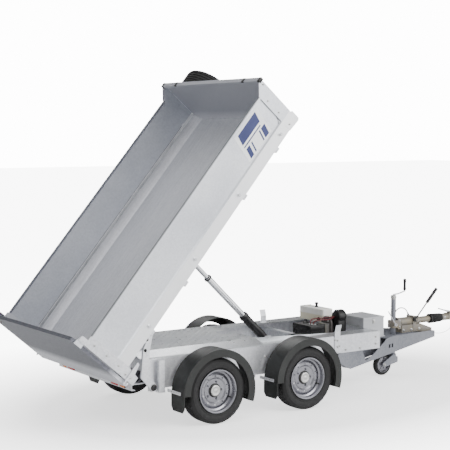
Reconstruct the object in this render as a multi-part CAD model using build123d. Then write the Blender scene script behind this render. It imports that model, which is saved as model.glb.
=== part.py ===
from build123d import *
import math
import os

# Twin-axle hydraulic tipping trailer, shown with its body raised.
# Millimetres. +X points to the towing hitch, +Z up, ground at Z = 0.
# The working frame has X = 0 at the rear axle; the parts are written shifted by -ORIGIN_X.
ORIGIN_X = 1040

# running gear
AXLE_SPACING = 888
TYRE_R = 261
TYRE_W = 155
BEAD_R = 166
WHEEL_Y = 660
RIM_W = 148
FLANGE_R = 172
BORE_FIT = 0.05
AXLES = {"rear": 0, "front": AXLE_SPACING}
SIDES = {"right": -1, "left": 1}

# chassis
RAIL_Y = 530
RAIL_TOP = 533
RAIL_REAR = -560
RAIL_FRONT = 1845
DECK_TOP = 572
DECK_HALF = 365
DECK_FRONT = 620
GUARD_R = 334
GUARD_IN = 580
GUARD_OUT = 765
LIP = 62

# tipping body, in its own u (forward along the floor), y, v (up from the floor) axes
TIP = 49.43
ANCHOR = (-757, 0, 394)
BODY_HALF = 721
FLOOR_V = 140
WALL_V = 518
GATE_V = 640
GATE_LOW = 32
HINGE = (-480, 318)
ROD_PIN_UV = (1273, 100)

# lifting ram
TRUNNION = (987, 478.8)
BARREL_R = 37
BARREL_UP = 326
BARREL_DOWN = 270
STAGE1_R = 27
STAGE2_R = 20
STAGE1_OUT = 508

# drawbar and coupling
ARM_REAR = (1360, 548)
ARM_FRONT = (2970, 55)
COUPLING_Z = 480
JOCKEY_X = 2490

os.makedirs("parts", exist_ok=True)
BODY_LOC = Pos(*ANCHOR) * Rot(0, -TIP, 0)


def box(x0, x1, y0, y1, z0, z1):
    centre = Pos((x0 + x1) / 2, (y0 + y1) / 2, (z0 + z1) / 2)
    return centre * Box(abs(x1 - x0), abs(y1 - y0), abs(z1 - z0))


def bar_between(y_side, y_in, y_out):
    """Lower and upper y of a span given by its distances from the centre plane."""
    return sorted((y_side * y_in, y_side * y_out))


def plate_xz(points, y0, y1):
    """Flat plate with its outline in the XZ plane, from y0 to y1."""
    wire = Polyline(*[(x, 0, z) for x, z in points], close=True)
    return Pos(0, min(y0, y1), 0) * extrude(make_face(wire), amount=abs(y1 - y0), dir=(0, 1, 0))


def plate_xy(points, z0, z1):
    wire = Polyline(*[(x, y, 0) for x, y in points], close=True)
    return Pos(0, 0, z0) * extrude(make_face(wire), amount=z1 - z0, dir=(0, 0, 1))


def plate_yz(points, x0, x1):
    wire = Polyline(*[(0, y, z) for y, z in points], close=True)
    return Pos(x0, 0, 0) * extrude(make_face(wire), amount=x1 - x0, dir=(1, 0, 0))


def rod(start, end, radius):
    """Round bar from one point to another."""
    plane = Plane(origin=start, z_dir=Vector(*end) - Vector(*start))
    length = (Vector(*end) - Vector(*start)).length
    return extrude(plane * Circle(radius), amount=length)


def ring(start, end, outer, inner):
    over = (Vector(*end) - Vector(*start)).normalized()
    hole = rod(Vector(*start) - over, Vector(*end) + over, inner)
    return rod(start, end, outer) - hole


def turned(points):
    """Solid of revolution about the Y axis from an outline of (radius, y) points."""
    wire = Polyline(*[(r, y, 0) for r, y in points], close=True)
    return revolve(make_face(wire), Axis.Y)


def tube(points, radius, radii):
    """Round tube on straight runs joined by tangent arcs."""
    path = FilletPolyline(*points, radius=radii)
    section = Plane(origin=path @ 0, z_dir=path % 0) * Circle(radius)
    return sweep(section, path=path)


def write(name, *solids):
    """One STEP file per piece or per group of separate pieces."""
    shifted = [Pos(-ORIGIN_X, 0, 0) * s for s in solids]
    kept = [k for s in shifted for k in s.solids()]
    shape = kept[0] if len(kept) == 1 else Compound(children=kept)
    shape.label = name
    export_step(shape, f"parts/{name}.step")


def write_body(name, *solids):
    """Pieces of the tipping body are drawn level and turned up to the raised position."""
    write(name, *[BODY_LOC * s for s in solids])


# ---------------------------------------------------------------- wheels
def tyre():
    half = TYRE_W / 2
    wall = 12
    outer = [(BEAD_R + 8, half - 12), (BEAD_R + 30, half - 2), (BEAD_R + 55, half), (TYRE_R - 18, half - 6),
             (TYRE_R - 5, half - 16), (TYRE_R, half - 30)]
    inner = [(TYRE_R - wall, half - 34), (TYRE_R - 20, half - 22), (BEAD_R + 55, half - wall),
             (BEAD_R + 30, half - 15), (BEAD_R + 12, half - 26)]
    profile = outer + [(r, -y) for r, y in reversed(outer)]
    profile += [(r, -y) for r, y in reversed(inner)] + inner
    return turned(profile)


def rim():
    """Pressed steel wheel; outboard is +y before it is placed."""
    skin = 4
    half = RIM_W / 2
    outer = [(FLANGE_R, half), (FLANGE_R, half - 6), (BEAD_R - 1, half - 8), (BEAD_R - 5, 36), (148, 28),
             (148, -20), (BEAD_R - 5, -36), (BEAD_R - 1, 8 - half), (FLANGE_R, 6 - half), (FLANGE_R, -half)]
    inner = [(r - skin, y) for r, y in reversed(outer)]
    inner[0] = (FLANGE_R - skin - 4, -half)
    inner[-1] = (FLANGE_R - skin - 4, half)
    barrel = turned(outer + inner)
    disc = turned([(54, 20), (92, 20), (104, 30), (124, 30), (147, 14), (147, 9), (122, 25), (106, 25),
                   (94, 15), (54, 15)])
    wheel = barrel + disc
    for k in range(5):
        stud = Rot(0, 72 * k + 36, 0) * rod((70, 5, 0), (70, 30, 0), 7.3)
        wheel -= stud
    for k in range(10):
        slot = Rot(0, 36 * k + 18, 0) * rod((114, 5, 0), (114, 45, 0), 6.2)
        wheel -= slot
    return wheel


def hub():
    """Hub drum with five studs and nuts and its grease cap."""
    body = rod((0, -60, 0), (0, 14.7, 0), 45) + rod((0, 4, 0), (0, 14.7, 0), 88)
    body += rod((0, 14, 0), (0, 38, 0), 42)
    for k in range(5):
        stud = rod((70, 14, 0), (70, 34, 0), 6)
        nut = Pos(70, 20.5, 0) * Rot(-90, 0, 0) * extrude(RegularPolygon(11, 6), amount=9)
        body += Rot(0, 72 * k + 36, 0) * (stud + nut)
    return body - rod((0, -61, 0), (0, 10, 0), 16 + BORE_FIT)


def place_wheel(shape, x, side):
    turn = Rot(0, 0, 180) if side < 0 else Rot(0, 0, 0)
    return Pos(x, side * WHEEL_Y, TYRE_R) * turn * shape


for axle, x in AXLES.items():
    for name, side in SIDES.items():
        write(f"tyre_{axle}_{name}", place_wheel(tyre(), x, side))
        write(f"rim_and_hub_{axle}_{name}", place_wheel(rim(), x, side), place_wheel(hub(), x, side))


# ---------------------------------------------------------------- axles and suspension
def axle_beam(x):
    beam = box(x - 25, x + 25, -574, 574, TYRE_R - 25, TYRE_R + 25)
    for side in (-1, 1):
        beam += rod((x, side * 570, TYRE_R), (x, side * (WHEEL_Y + 5), TYRE_R), 16)
    return beam


SPRING_Y = 488
EYE_Z = 305
EYE_SPAN = 400


def leaf_spring(x, side):
    """Three leaves that bow down to the axle, with an eye at each end."""
    y0, y1 = bar_between(side, SPRING_Y - 22, SPRING_Y + 22)
    top = TYRE_R + 25
    leaves = None
    for k, half in enumerate((EYE_SPAN, 280, 170)):
        rise = (EYE_Z - top - 8 * (3 - k)) * (half / EYE_SPAN) ** 2
        z = top + 8 * (2 - k)
        outline = [(x - half, z + rise), (x - half / 2, z + rise / 4), (x, z), (x + half / 2, z + rise / 4),
                   (x + half, z + rise)]
        outline += [(px, pz + 8) for px, pz in reversed(outline)]
        leaf = plate_xz(outline, y0, y1)
        leaves = leaf if leaves is None else leaves + leaf
    for end in (-1, 1):
        centre = (x + end * EYE_SPAN, EYE_Z)
        leaves += rod((centre[0], y0, centre[1]), (centre[0], y1, centre[1]), 16)
    for end in (-1, 1):
        centre = (x + end * EYE_SPAN, EYE_Z)
        leaves -= rod((centre[0], y0 - 1, centre[1]), (centre[0], y1 + 1, centre[1]), 8.2)
    return leaves


def spring_hanger(x, side, low):
    """Two cheeks and a pin that carry a spring eye under the rail."""
    plates = []
    for y_in, y_out in ((SPRING_Y - 30, SPRING_Y - 25), (SPRING_Y + 25, SPRING_Y + 30)):
        y0, y1 = bar_between(side, y_in, y_out)
        plates.append(box(x - 24, x + 24, y0, y1, low, 470))
    y0, y1 = bar_between(side, SPRING_Y - 36, SPRING_Y + 34)
    pin = rod((x, y0, EYE_Z), (x, y1, EYE_Z), 8)
    return plates[0] + plates[1] + pin


write("axle_beams", *[axle_beam(x) for x in AXLES.values()])
springs = [leaf_spring(x, side) for x in AXLES.values() for side in SIDES.values()]
hanger_x = sorted({x + end * EYE_SPAN for x in AXLES.values() for end in (-1, 1)})
hangers = [spring_hanger(x, side, EYE_Z - 28) for x in hanger_x for side in SIDES.values()]
write("leaf_springs_and_hangers", *springs, *hangers)


# ---------------------------------------------------------------- chassis
STAKE_X = -446
STAKE_TOP = 524


def side_rail(side):
    """Folded side plate: deep between the axles, shallower to the front, with an ear for the tip hinge."""
    y0, y1 = bar_between(side, RAIL_Y - 6, RAIL_Y)
    hx, hz = HINGE
    outline = [(RAIL_REAR, RAIL_TOP), (RAIL_REAR, 470), (hx - 34, 380), (hx - 34, hz - 30), (hx + 34, hz - 30),
               (hx + 50, 300), (1180, 300), (1260, 385), (RAIL_FRONT, 385), (RAIL_FRONT, RAIL_TOP)]
    plate = plate_xz(outline, y0, y1)
    f0, f1 = bar_between(side, RAIL_Y - 50, RAIL_Y - 5)
    plate += box(RAIL_REAR, RAIL_FRONT, f0, f1, RAIL_TOP - 5, RAIL_TOP)
    plate += box(1370, RAIL_FRONT, f0, f1, 385, 390)
    pin0, pin1 = bar_between(side, RAIL_Y - 20, RAIL_Y + 30)
    plate += rod((HINGE[0], pin0, HINGE[1]), (HINGE[0], pin1, HINGE[1]), 14)
    s0, s1 = bar_between(side, RAIL_Y - 4, RAIL_Y + 56)
    plate += box(STAKE_X, STAKE_X + 54, s0, s1, 276, 291)
    s0, s1 = bar_between(side, RAIL_Y + 30, RAIL_Y + 56)
    return plate + box(STAKE_X, STAKE_X + 50, s0, s1, 290, STAKE_TOP)


def deck():
    """Raised tread deck with sloping edges, a slot for the ram head, and the strips beside the well."""
    plate = box(RAIL_REAR, DECK_FRONT, -DECK_HALF, DECK_HALF, DECK_TOP - 4, DECK_TOP)
    plate -= box(500, DECK_FRONT + 1, -75, 75, DECK_TOP - 10, DECK_TOP + 10)
    pieces = [plate]
    for side in (-1, 1):
        slope = [(side * DECK_HALF, DECK_TOP), (side * DECK_HALF, DECK_TOP - 5), (side * 480, RAIL_TOP + 0.5),
                 (side * 526, RAIL_TOP + 0.5), (side * 526, RAIL_TOP + 4.5), (side * 482, RAIL_TOP + 4.5)]
        pieces.append(plate_yz(slope, RAIL_REAR, DECK_FRONT))
        strip = [(side * (DECK_HALF + 4), RAIL_TOP + 0.5), (side * 526, RAIL_TOP + 0.5),
                 (side * 526, RAIL_TOP + 4.5), (side * (DECK_HALF + 4), RAIL_TOP + 4.5)]
        pieces.append(plate_yz(strip, DECK_FRONT - 1, RAIL_FRONT))
        lip = [(DECK_FRONT - 1, RAIL_TOP + 2), (RAIL_FRONT, RAIL_TOP + 2), (1400, RAIL_TOP + 4.5),
               (DECK_FRONT - 1, DECK_TOP)]
        y0, y1 = bar_between(side, DECK_HALF, DECK_HALF + 5)
        pieces.append(plate_xz(lip, y0, y1))
    whole = pieces[0]
    for piece in pieces[1:]:
        whole += piece
    return whole


def cross_members():
    """Channels between the rails, clear of the ram in every position."""
    members = []
    for x in (-540, -60, 300):
        members.append(box(x, x + 50, -523.5, 523.5, RAIL_TOP - 90, RAIL_TOP - 6))
    for x in (600, 1316, 1790):
        members.append(box(x, x + 50, -523.5, 523.5, 410, 482))
    return members


def trunnion_bracket():
    """Cross tube ahead of the front axle line with two cheeks that carry the ram trunnion."""
    bracket = box(850, 900, -523.5, 523.5, 375, 430)
    for side in (-1, 1):
        y0, y1 = bar_between(side, 52, 64)
        cheek = plate_xz([(850, 375), (1030, 375), (1030, 480), (1005, 510), (955, 510), (850, 425)], y0, y1)
        bracket += cheek
    hole = rod((TRUNNION[0], -70, TRUNNION[1]), (TRUNNION[0], 70, TRUNNION[1]), 16 + BORE_FIT)
    return bracket - hole


def pack_floor():
    """Tray in the well under the power pack."""
    return box(1366.5, 1789.5, -470, 470, 398, 402)


def tank_shelf():
    """Shelf on two legs that carries the oil tank."""
    shelf = box(1716, 1843, 94, 456, 538, 540.5)
    for y in (130, 340):
        shelf += box(1795, 1835, y, y + 5, 482.5, 539)
    return shelf


def front_panel():
    return box(RAIL_FRONT + 1, RAIL_FRONT + 5, -RAIL_Y, RAIL_Y, 386, RAIL_TOP)


def hose_elbow():
    """Fitting on the outer end of the ram's hollow trunnion."""
    tx, tz = TRUNNION
    return rod((tx, -73, tz), (tx, -92, tz), 14) + rod((tx, -84, tz), (tx + 14, -84, tz), 7.5)


def guide(side):
    """Upright tab on the rail with an outward lean at the top that centres the body as it comes down."""
    y_in = side * (RAIL_Y + 0.5)
    outline = [(y_in, 420), (y_in + side * 5, 420), (y_in + side * 5, 575), (y_in + side * 22, 632),
               (y_in + side * 17, 634), (y_in, 576)]
    return plate_yz(outline, 1335, 1395)


write("side_rails", *[side_rail(side) for side in SIDES.values()])
write("tread_deck", deck())
write("cross_members", *cross_members(), pack_floor(), tank_shelf(), front_panel())
write("trunnion_bracket", trunnion_bracket(), hose_elbow())
write("body_guides", *[guide(side) for side in SIDES.values()])


# ---------------------------------------------------------------- mudguards and rear lights
def mudguard(x, side):
    """Moulded arch with a rolled outer lip and a hanging flap behind the tyre."""
    y0, y1 = bar_between(side, GUARD_IN, GUARD_OUT)
    skin = 5
    section = [(GUARD_R - skin, GUARD_IN), (GUARD_R, GUARD_IN), (GUARD_R, GUARD_OUT), (GUARD_R - LIP, GUARD_OUT),
               (GUARD_R - LIP, GUARD_OUT - skin), (GUARD_R - skin, GUARD_OUT - skin)]
    arch = Pos(x, 0, TYRE_R) * turned([(r, side * y) for r, y in section])
    cut = GUARD_R + 30
    arch -= plate_xz([(x, TYRE_R), (x - cut, TYRE_R - 2), (x - cut, -200), (x + cut, -200),
                      (x + cut, TYRE_R - 130)], y0 - 5, y1 + 5)
    flap_x = x - GUARD_R
    flap = [(y0, 264), (y1, 264), (y1, 165), (y1 - 26, 132), (y0 + 26, 132), (y0, 165)]
    arch += plate_yz(flap, flap_x - 2, flap_x + 4)
    return arch


def guard_stays(x, side):
    """Flat bars that hold the back and the front of one mudguard off the rail."""
    y0, y1 = bar_between(side, RAIL_Y + 0.5, GUARD_OUT - 45)
    back = box(x - GUARD_R - 7, x - GUARD_R - 2.5, y0, y1, 266, 290)
    for step in range(4):
        y = side * (RAIL_Y + 60 + 35 * step)
        back -= rod((x - GUARD_R - 9, y, 278), (x - GUARD_R - 1, y, 278), 5)
    return back


def light_board():
    """Folded channel across the tail with a plain plate recess in the middle."""
    board = box(-700, -696, -600, 600, 326, 392) + box(-700, -668, -600, 600, 326, 330)
    board += box(-700, -668, -600, 600, 388, 392)
    for side in (-1, 1):
        y0, y1 = bar_between(side, 488, RAIL_Y - 6)
        board += box(-697, -500, y0, y1, 352, 357)
        y0, y1 = bar_between(side, LAMP_IN - 22, LAMP_IN - 8)
        board += box(-712, -696, y0, y1, 338, 414)
    return board + box(-702, -699, -PLATE_HALF, PLATE_HALF, 328, 390)


LAMP_IN = 302
LAMP_OUT = 512
PLATE_HALF = 260


write("mudguards", *[mudguard(x, side) for x in AXLES.values() for side in SIDES.values()])
write("mudguard_stays", *[guard_stays(x, side) for x in AXLES.values() for side in SIDES.values()])
write("light_board", light_board())
write("tail_lamps", *[box(-716, -700.5, *bar_between(side, LAMP_IN, LAMP_OUT), 334, 388) for side in (-1, 1)])


# ---------------------------------------------------------------- tipping body
CROSS_U = (70, 390, 850, 1700, 2180)
REST_U = (250, 1150)
SKIRT_V = 125
STEP_V = 229
POST_L = 88


def body_floor():
    """Floor sheet with a sloping fillet strip along each wall."""
    sheet = box(5, 2498, -650, 650, FLOOR_V - 2, FLOOR_V + 2)
    for side in (-1, 1):
        strip = [(side * 648, FLOOR_V - 2), (side * 703, 203), (side * 703, 208), (side * 646, FLOOR_V + 2)]
        sheet += plate_yz(strip, 5, 2498)
    return sheet


def side_wall(side):
    """Folded side: box skirt along the bottom, a recessed panel above it and a turned top edge."""
    skin = 3
    outer = [(690, SKIRT_V), (BODY_HALF, SKIRT_V), (BODY_HALF, STEP_V), (709, 240), (709, 498), (BODY_HALF, 502),
             (BODY_HALF, WALL_V), (696, WALL_V)]
    inner = [(696, WALL_V - skin), (BODY_HALF - skin, WALL_V - skin), (BODY_HALF - skin, 505),
             (709 - skin, 501), (709 - skin, 238), (BODY_HALF - skin, STEP_V - 2),
             (BODY_HALF - skin, SKIRT_V + skin), (690, SKIRT_V + skin)]
    return plate_yz([(side * y, v) for y, v in outer + inner], POST_L + 0.5, 2384.5)


def rear_post(side):
    """Box post at the rear corner with the plate that carries the tailgate hinge pin."""
    y0, y1 = bar_between(side, 703.5, BODY_HALF)
    post = plate_xz([(0, 3), (POST_L - 20, 3), (POST_L, 125), (POST_L, 515), (POST_L - 10, 529), (0, 529)], y0, y1)
    y0, y1 = bar_between(side, BODY_HALF - 5, BODY_HALF)
    post += plate_xz([(0, 520), (46, 520), (46, 580), (34, 592), (6, 592), (0, 580)], y0, y1)
    y0, y1 = bar_between(side, 702, BODY_HALF)
    return post + rod((20, y0, GATE_AXIS_V), (20, y1, GATE_AXIS_V), 8)


GATE_AXIS_V = 565


def headboard():
    """Front wall, taller than the sides, with folded wings and a capped top rail."""
    wall = box(2500, 2504, -719, 719, 128, 600)
    for side in (-1, 1):
        y0, y1 = bar_between(side, 716, BODY_HALF)
        wing = plate_xz([(2385, 120), (2500, 110), (2519, 122), (2519, 205), (2504, 215), (2504, 600), (2470, 600),
                         (2385, 524)], y0, y1)
        wall += wing
    rail = box(2474, 2512, -726, 726, 588, 612)
    rail -= box(2478, 2499.5, -724, 724, 585, 608)
    return wall + rail


def underframe():
    """Two bearers, cross members and the saddle under the floor that the ram head pushes against."""
    frame = None
    for side in (-1, 1):
        y0, y1 = bar_between(side, 300, 340)
        bearer = box(110, 2300, y0, y1, 58, FLOOR_V - 2.5)
        frame = bearer if frame is None else frame + bearer
    for u in CROSS_U:
        frame += box(u, u + 45, -686, 686, 86, FLOOR_V - 2.5)
    for u in REST_U:
        for side in (-1, 1):
            frame += box(u, u + 60, *bar_between(side, 300, 340), -4, 59)
    frame += box(1215, 1355, -302, 302, 128, FLOOR_V - 2.5)
    for side in (-1, 1):
        y0, y1 = bar_between(side, 28, 40)
        pu, pv = ROD_PIN_UV
        ear = plate_xz([(1215, 132), (1215, 121), (pu, 115.4), (pu + 15.4, 100), (1334, 101), (1345, 132)], y0, y1)
        frame += ear - rod((pu, y0 - 1, pv), (pu, y1 + 1, pv), 15.4)
    return frame


def hinge_arm(side):
    """Gusset that hangs from the body cross members to the chassis hinge pin."""
    hu, hv = hinge_in_body()
    y0, y1 = bar_between(side, RAIL_Y + 7, RAIL_Y + 27)
    back = [(346, 85.5), (346, 20), (291, 5), (217, -50), (116, -120), (hu - 26, hv)]
    front = [(hu + 30, hv), (172, -148), (262, -89), (352, -30), (430, 12), (430, 85.5)]
    arm = plate_xz(back + front, y0, y1)
    arm += rod((hu, y0, hv), (hu, y1, hv), 30)
    return arm - rod((hu, y0 - 1, hv), (hu, y1 + 1, hv), 14 + BORE_FIT)


def hinge_in_body():
    """The hinge centre in the body's own (u, v)."""
    dx = HINGE[0] - ANCHOR[0]
    dz = HINGE[1] - ANCHOR[2]
    c = math.cos(math.radians(TIP))
    s = math.sin(math.radians(TIP))
    return (dx * c + dz * s, -dx * s + dz * c)


def tailgate():
    """Framed rear gate hung from pins above the corner posts, taller than the walls."""
    gate = box(-34, -31, -700, 700, GATE_LOW, GATE_V) + box(-34, -6, -700, 700, GATE_V - 5, GATE_V)
    gate += box(-34, -6, -700, 700, GATE_LOW, GATE_LOW + 5)
    for y in (-700, -236, 231, 695):
        gate += box(-31, -6, y, y + 5, GATE_LOW, GATE_V)
    gate += box(-9, -6, -700, 700, GATE_LOW, 520)
    for side in (-1, 1):
        y0, y1 = bar_between(side, 699, 714.5)
        ear = plate_xz([(-34, 535), (28, 535), (42, 550), (42, 580), (28, 595), (-34, 610)], y0, y1)
        gate += ear - rod((20, y0 - 1, GATE_AXIS_V), (20, y1 + 1, GATE_AXIS_V), 8 + BORE_FIT)
        y0, y1 = bar_between(side, 700, 737)
        gate += rod((-20, y0, LATCH_V), (-20, y1, LATCH_V), 7)
    return gate


LATCH_U = 45
LATCH_V = 60


def gate_latch(side):
    """Lever that lies over the gate pin, with its handle along the skirt."""
    y0, y1 = bar_between(side, BODY_HALF + 1.5, BODY_HALF + 8.5)
    hook = plate_xz([(60, 45), (150, 62), (156, 84), (60, 86), (-34, 86), (-42, 80), (-38, 73), (20, 73),
                     (30, 60), (30, 45)], y0, y1)
    hole = rod((LATCH_U, y0 - 1, LATCH_V), (LATCH_U, y1 + 1, LATCH_V), 8 + BORE_FIT)
    return hook - hole


def latch_pivot(side):
    y0, y1 = bar_between(side, BODY_HALF - 4, BODY_HALF + 12)
    return rod((LATCH_U, y0, LATCH_V), (LATCH_U, y1, LATCH_V), 8)


SPARE = (2598, 400, 340)


def spare(shape):
    """The spare wheel stands flat against the front of the headboard, dish outwards."""
    return Pos(*SPARE) * Rot(0, 0, -90) * shape


def spare_carrier():
    """Bolt-on plate and stud that hold the spare wheel to the headboard."""
    u, y, v = SPARE
    plate = box(2504.5, 2512.5, y - 90, y + 90, v - 100, v + 87) + rod((2512, y, v), (2640, y, v), 11)
    plate += rod((2512, y, v), (u + 14.5, y, v), 50)
    return plate + rod((u + 20.5, y, v), (u + 28, y, v), 70)


write_body("body_floor", body_floor())
write_body("body_underframe", underframe())
write_body("headboard", headboard())
for name, side in SIDES.items():
    write_body(f"side_wall_{name}", side_wall(side))
    write_body(f"gate_latch_{name}", gate_latch(side))
write_body("corner_posts", *[rear_post(side) + latch_pivot(side) for side in SIDES.values()])
write_body("hinge_arms", *[hinge_arm(side) for side in SIDES.values()])
write_body("tailgate", tailgate())
write_body("spare_tyre", spare(tyre()))
write_body("spare_rim", spare(rim()))
write_body("spare_carrier", spare_carrier())


# ---------------------------------------------------------------- telescopic lifting ram
def rod_pin_world():
    c = math.cos(math.radians(TIP))
    s = math.sin(math.radians(TIP))
    u, v = ROD_PIN_UV
    return (ANCHOR[0] + u * c - v * s, ANCHOR[2] + u * s + v * c)


PIN = rod_pin_world()
RAM_LENGTH = math.hypot(PIN[0] - TRUNNION[0], PIN[1] - TRUNNION[1])
RAM_LEAN = math.degrees(math.atan2(PIN[0] - TRUNNION[0], PIN[1] - TRUNNION[1]))
RAM_LOC = Pos(TRUNNION[0], 0, TRUNNION[1]) * Rot(0, RAM_LEAN, 0)


def ram_tube(z0, z1, outer, inner):
    return ring((0, 0, z0), (0, 0, z1), outer, inner)


def ram_barrel():
    """Outer barrel with its closed foot, top gland and trunnion stubs."""
    barrel = ram_tube(-BARREL_DOWN, BARREL_UP, BARREL_R, 31)
    barrel += rod((0, 0, -BARREL_DOWN), (0, 0, 14 - BARREL_DOWN), BARREL_R)
    barrel += ram_tube(BARREL_UP - 18, BARREL_UP, BARREL_R, STAGE1_R + 0.35)
    for side in (-1, 1):
        barrel += rod((0, side * 34, 0), (0, side * 72, 0), 16)
    return barrel


def ram_stage1():
    top = BARREL_UP + STAGE1_OUT
    stage = ram_tube(BARREL_UP - 70, top, STAGE1_R, 22)
    stage += ram_tube(top - 20, top, 31, STAGE2_R + 0.35)
    return stage


def ram_stage2():
    """Inner rod with the cross-pinned head."""
    start = BARREL_UP + STAGE1_OUT - 60
    head = rod((0, 0, start), (0, 0, RAM_LENGTH - 4), STAGE2_R)
    head += rod((0, -25, RAM_LENGTH), (0, 25, RAM_LENGTH), 21)
    return head + rod((0, -42, RAM_LENGTH), (0, 42, RAM_LENGTH), 15)


write("ram_barrel", RAM_LOC * ram_barrel())
write("ram_stage_outer", RAM_LOC * ram_stage1())
write("ram_stage_inner", RAM_LOC * ram_stage2())


# ---------------------------------------------------------------- hydraulic power pack in the well
def battery():
    case = box(1376, 1530, -155, 100, 402.5, BATTERY_TOP)
    for y in TERMINAL_Y:
        case += rod((TERMINAL_X, y, BATTERY_TOP - 1), (TERMINAL_X, y, BATTERY_TOP + 12), 9)
    return case


def tank():
    """Upright oil tank with a filler neck and a breather."""
    shell = box(1720, 1840, 100, 450, 541, TANK_TOP)
    shell = fillet(shell.edges().filter_by(Axis.Z), 16)
    shell = fillet(shell.edges().group_by(Axis.Z)[-1], 9)
    cx, cy = TANK_CAP
    shell += rod((cx, cy, TANK_TOP - 1), (cx, cy, TANK_TOP + 18), 11)
    return shell + rod((cx, cy + 90, TANK_TOP - 1), (cx, cy + 90, TANK_TOP + 14), 7)


TANK_TOP = 657
TANK_CAP = (1782, 270)


def tank_cap():
    x, y = TANK_CAP
    low = TANK_TOP + 1
    cap = rod((x, y, low), (x, y, low + 46), 17) - rod((x, y, low - 1), (x, y, low + 18), 11.4)
    for k in range(12):
        angle = math.radians(30 * k)
        gx, gy = x + 18 * math.cos(angle), y + 18 * math.sin(angle)
        cap -= rod((gx, gy, low - 1), (gx, gy, low + 47), 2.5)
    return cap


def motor():
    """Pump flange and the direct-current motor lying along the trailer."""
    body = rod((1640, -40, 548), (1668, -40, 548), 76) + rod((1667, -40, 548), (1712, -40, 548), 58)
    return body + box(1640, 1700, -80, 20, 402.5, 500)


def motor_hood():
    """Round black hood over the relay, beside the motor."""
    hood = rod((1672, -135, 630), (1760, -135, 630), 58)
    return hood + box(1672, 1760, -180, -108, 402.5, 625)


def pump_block():
    block = box(1592, 1639.5, -90, 20, 402.5, 560)
    return block + rod((1593, -60, 470), (1576, -60, 470), 11)


def valve_block():
    block = box(1560, 1639, 50, 120, 402.5, 520) + rod((1590, 85, 519), (1590, 85, 560), 22)
    return block + rod((1622, 100, 519), (1622, 100, 545), 10)


HOSE_POINTS = [(1576, -60, 470), (1558, -64, 468), (1548, -104, 452), (1546, -148, 440), (1532, -188, 436),
               (1490, -206, 440), (1435, -200, 460), (1384, -176, 487), (1332, -140, 504),
               (1268, -108, 509), (1200, -92, 503), (1130, -88, 492), (1060, -84, 478.8),
               (1001, -84, 478.8)]
HOSE_R = 7


def corner_radii(points):
    """The largest arc that two neighbouring straight runs leave room for, at each corner."""
    radii = []
    for a, b, c in zip(points, points[1:], points[2:]):
        first = Vector(*b) - Vector(*a)
        second = Vector(*c) - Vector(*b)
        turn = math.radians(first.get_angle(second))
        radii.append(0.45 * min(first.length, second.length) / math.tan(turn / 2))
    return radii


def corded(points, radius):
    radii = corner_radii(points)
    print("radii", [round(r) for r in radii])
    return tube(points, radius, radii)


def lead(y, swing):
    """Battery lead from a terminal post to the solenoid."""
    low = BATTERY_TOP + 12
    return [(TERMINAL_X, y, low), (TERMINAL_X, y, low + 18), (TERMINAL_X + 24, y + swing, low + 32),
            (TERMINAL_X + 84, y + 1.8 * swing, low + 37), (TERMINAL_X + 150, y + 1.6 * swing, low + 31),
            (TERMINAL_X + 205, y + 0.6 * swing, low + 37), (1671.5, y - 0.8 * swing, low + 44)]


BATTERY_TOP = 568
TERMINAL_X = 1420
TERMINAL_Y = (-132, -92)


# ---------------------------------------------------------------- drawbar
def drawbar_arm(side):
    """Folded channel arm: its web is deep under the rails, notched at the rail end and tapers to the nose."""
    length = math.hypot(ARM_FRONT[0] - ARM_REAR[0], ARM_FRONT[1] - ARM_REAR[1])
    outline = [(0, 384), (0, 315), (190, 226), (length, 312), (length, 368), (length - 30, 378), (905, 420),
               (815, 413), (560, 296), (440, 262), (392, 346), (392, 384)]
    web = plate_xz(outline, -5, 0)
    for along in (845, 895):
        web -= box(along - 13, along + 13, -10, 10, 318, 352)
    inner_end = 1420
    outline_in = [(0, 384), (0, 330), (190, 245), (inner_end, 307), (inner_end, 384), (905, 414), (520, 384)]
    inner = plate_xz(outline_in, 70, 74)
    low = plate_xz([(60, 293), (190, 231), (inner_end, 309), (inner_end, 313), (190, 235), (60, 297)], -1, 71)
    top = plate_xz([(815, 404), (inner_end, 374), (inner_end, 378), (815, 408)], -1, 71)
    arm = web + inner + low + top
    angle = math.degrees(math.atan2(ARM_REAR[1] - ARM_FRONT[1], ARM_FRONT[0] - ARM_REAR[0]))
    placed = Pos(ARM_REAR[0], -ARM_REAR[1], 0) * Rot(0, 0, angle) * arm
    return placed if side < 0 else mirror(placed, Plane.XZ)


def nose_block():
    """Plates that join the arms under the coupling and behind it."""
    block = plate_xy([(2815, -97.1), (2962, -52.1), (2962, 52.1), (2815, 97.1)], 345, 366)
    return [block, plate_xy([(2560, -103), (2600, -90.8), (2600, 90.8), (2560, 103)], 340, 383)]


# ---------------------------------------------------------------- coupling
SHAFT_R = 25
BALL_X = 3300
BALL_Z = 455


def coupling_housing():
    """Cast housing that guides the overrun shaft, with a handbrake boss and a jockey clamp pad."""
    body = plate_xz([(2560, 383.5), (2814, 383.5), (2814, 366.5), (2945, 366.5), (2945, 400), (2800, 452),
                     (2560, 452)], -44, 44)
    body += rod((2560, 0, COUPLING_Z), (2800, 0, COUPLING_Z), 42)
    body += rod((2799, 0, COUPLING_Z), (2935, 0, COUPLING_Z), 31)
    body += box(2700, 2740, -47, 47, 384, 530)
    body += rod((2700 + 20, -47, 500), (2720, -74, 500), 10)
    body += box(2515, 2561, -38, 38, 420, 520) + jockey_clamp()
    return body - rod((2640, 0, COUPLING_Z), (2950, 0, COUPLING_Z), SHAFT_R + BORE_FIT)


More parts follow.
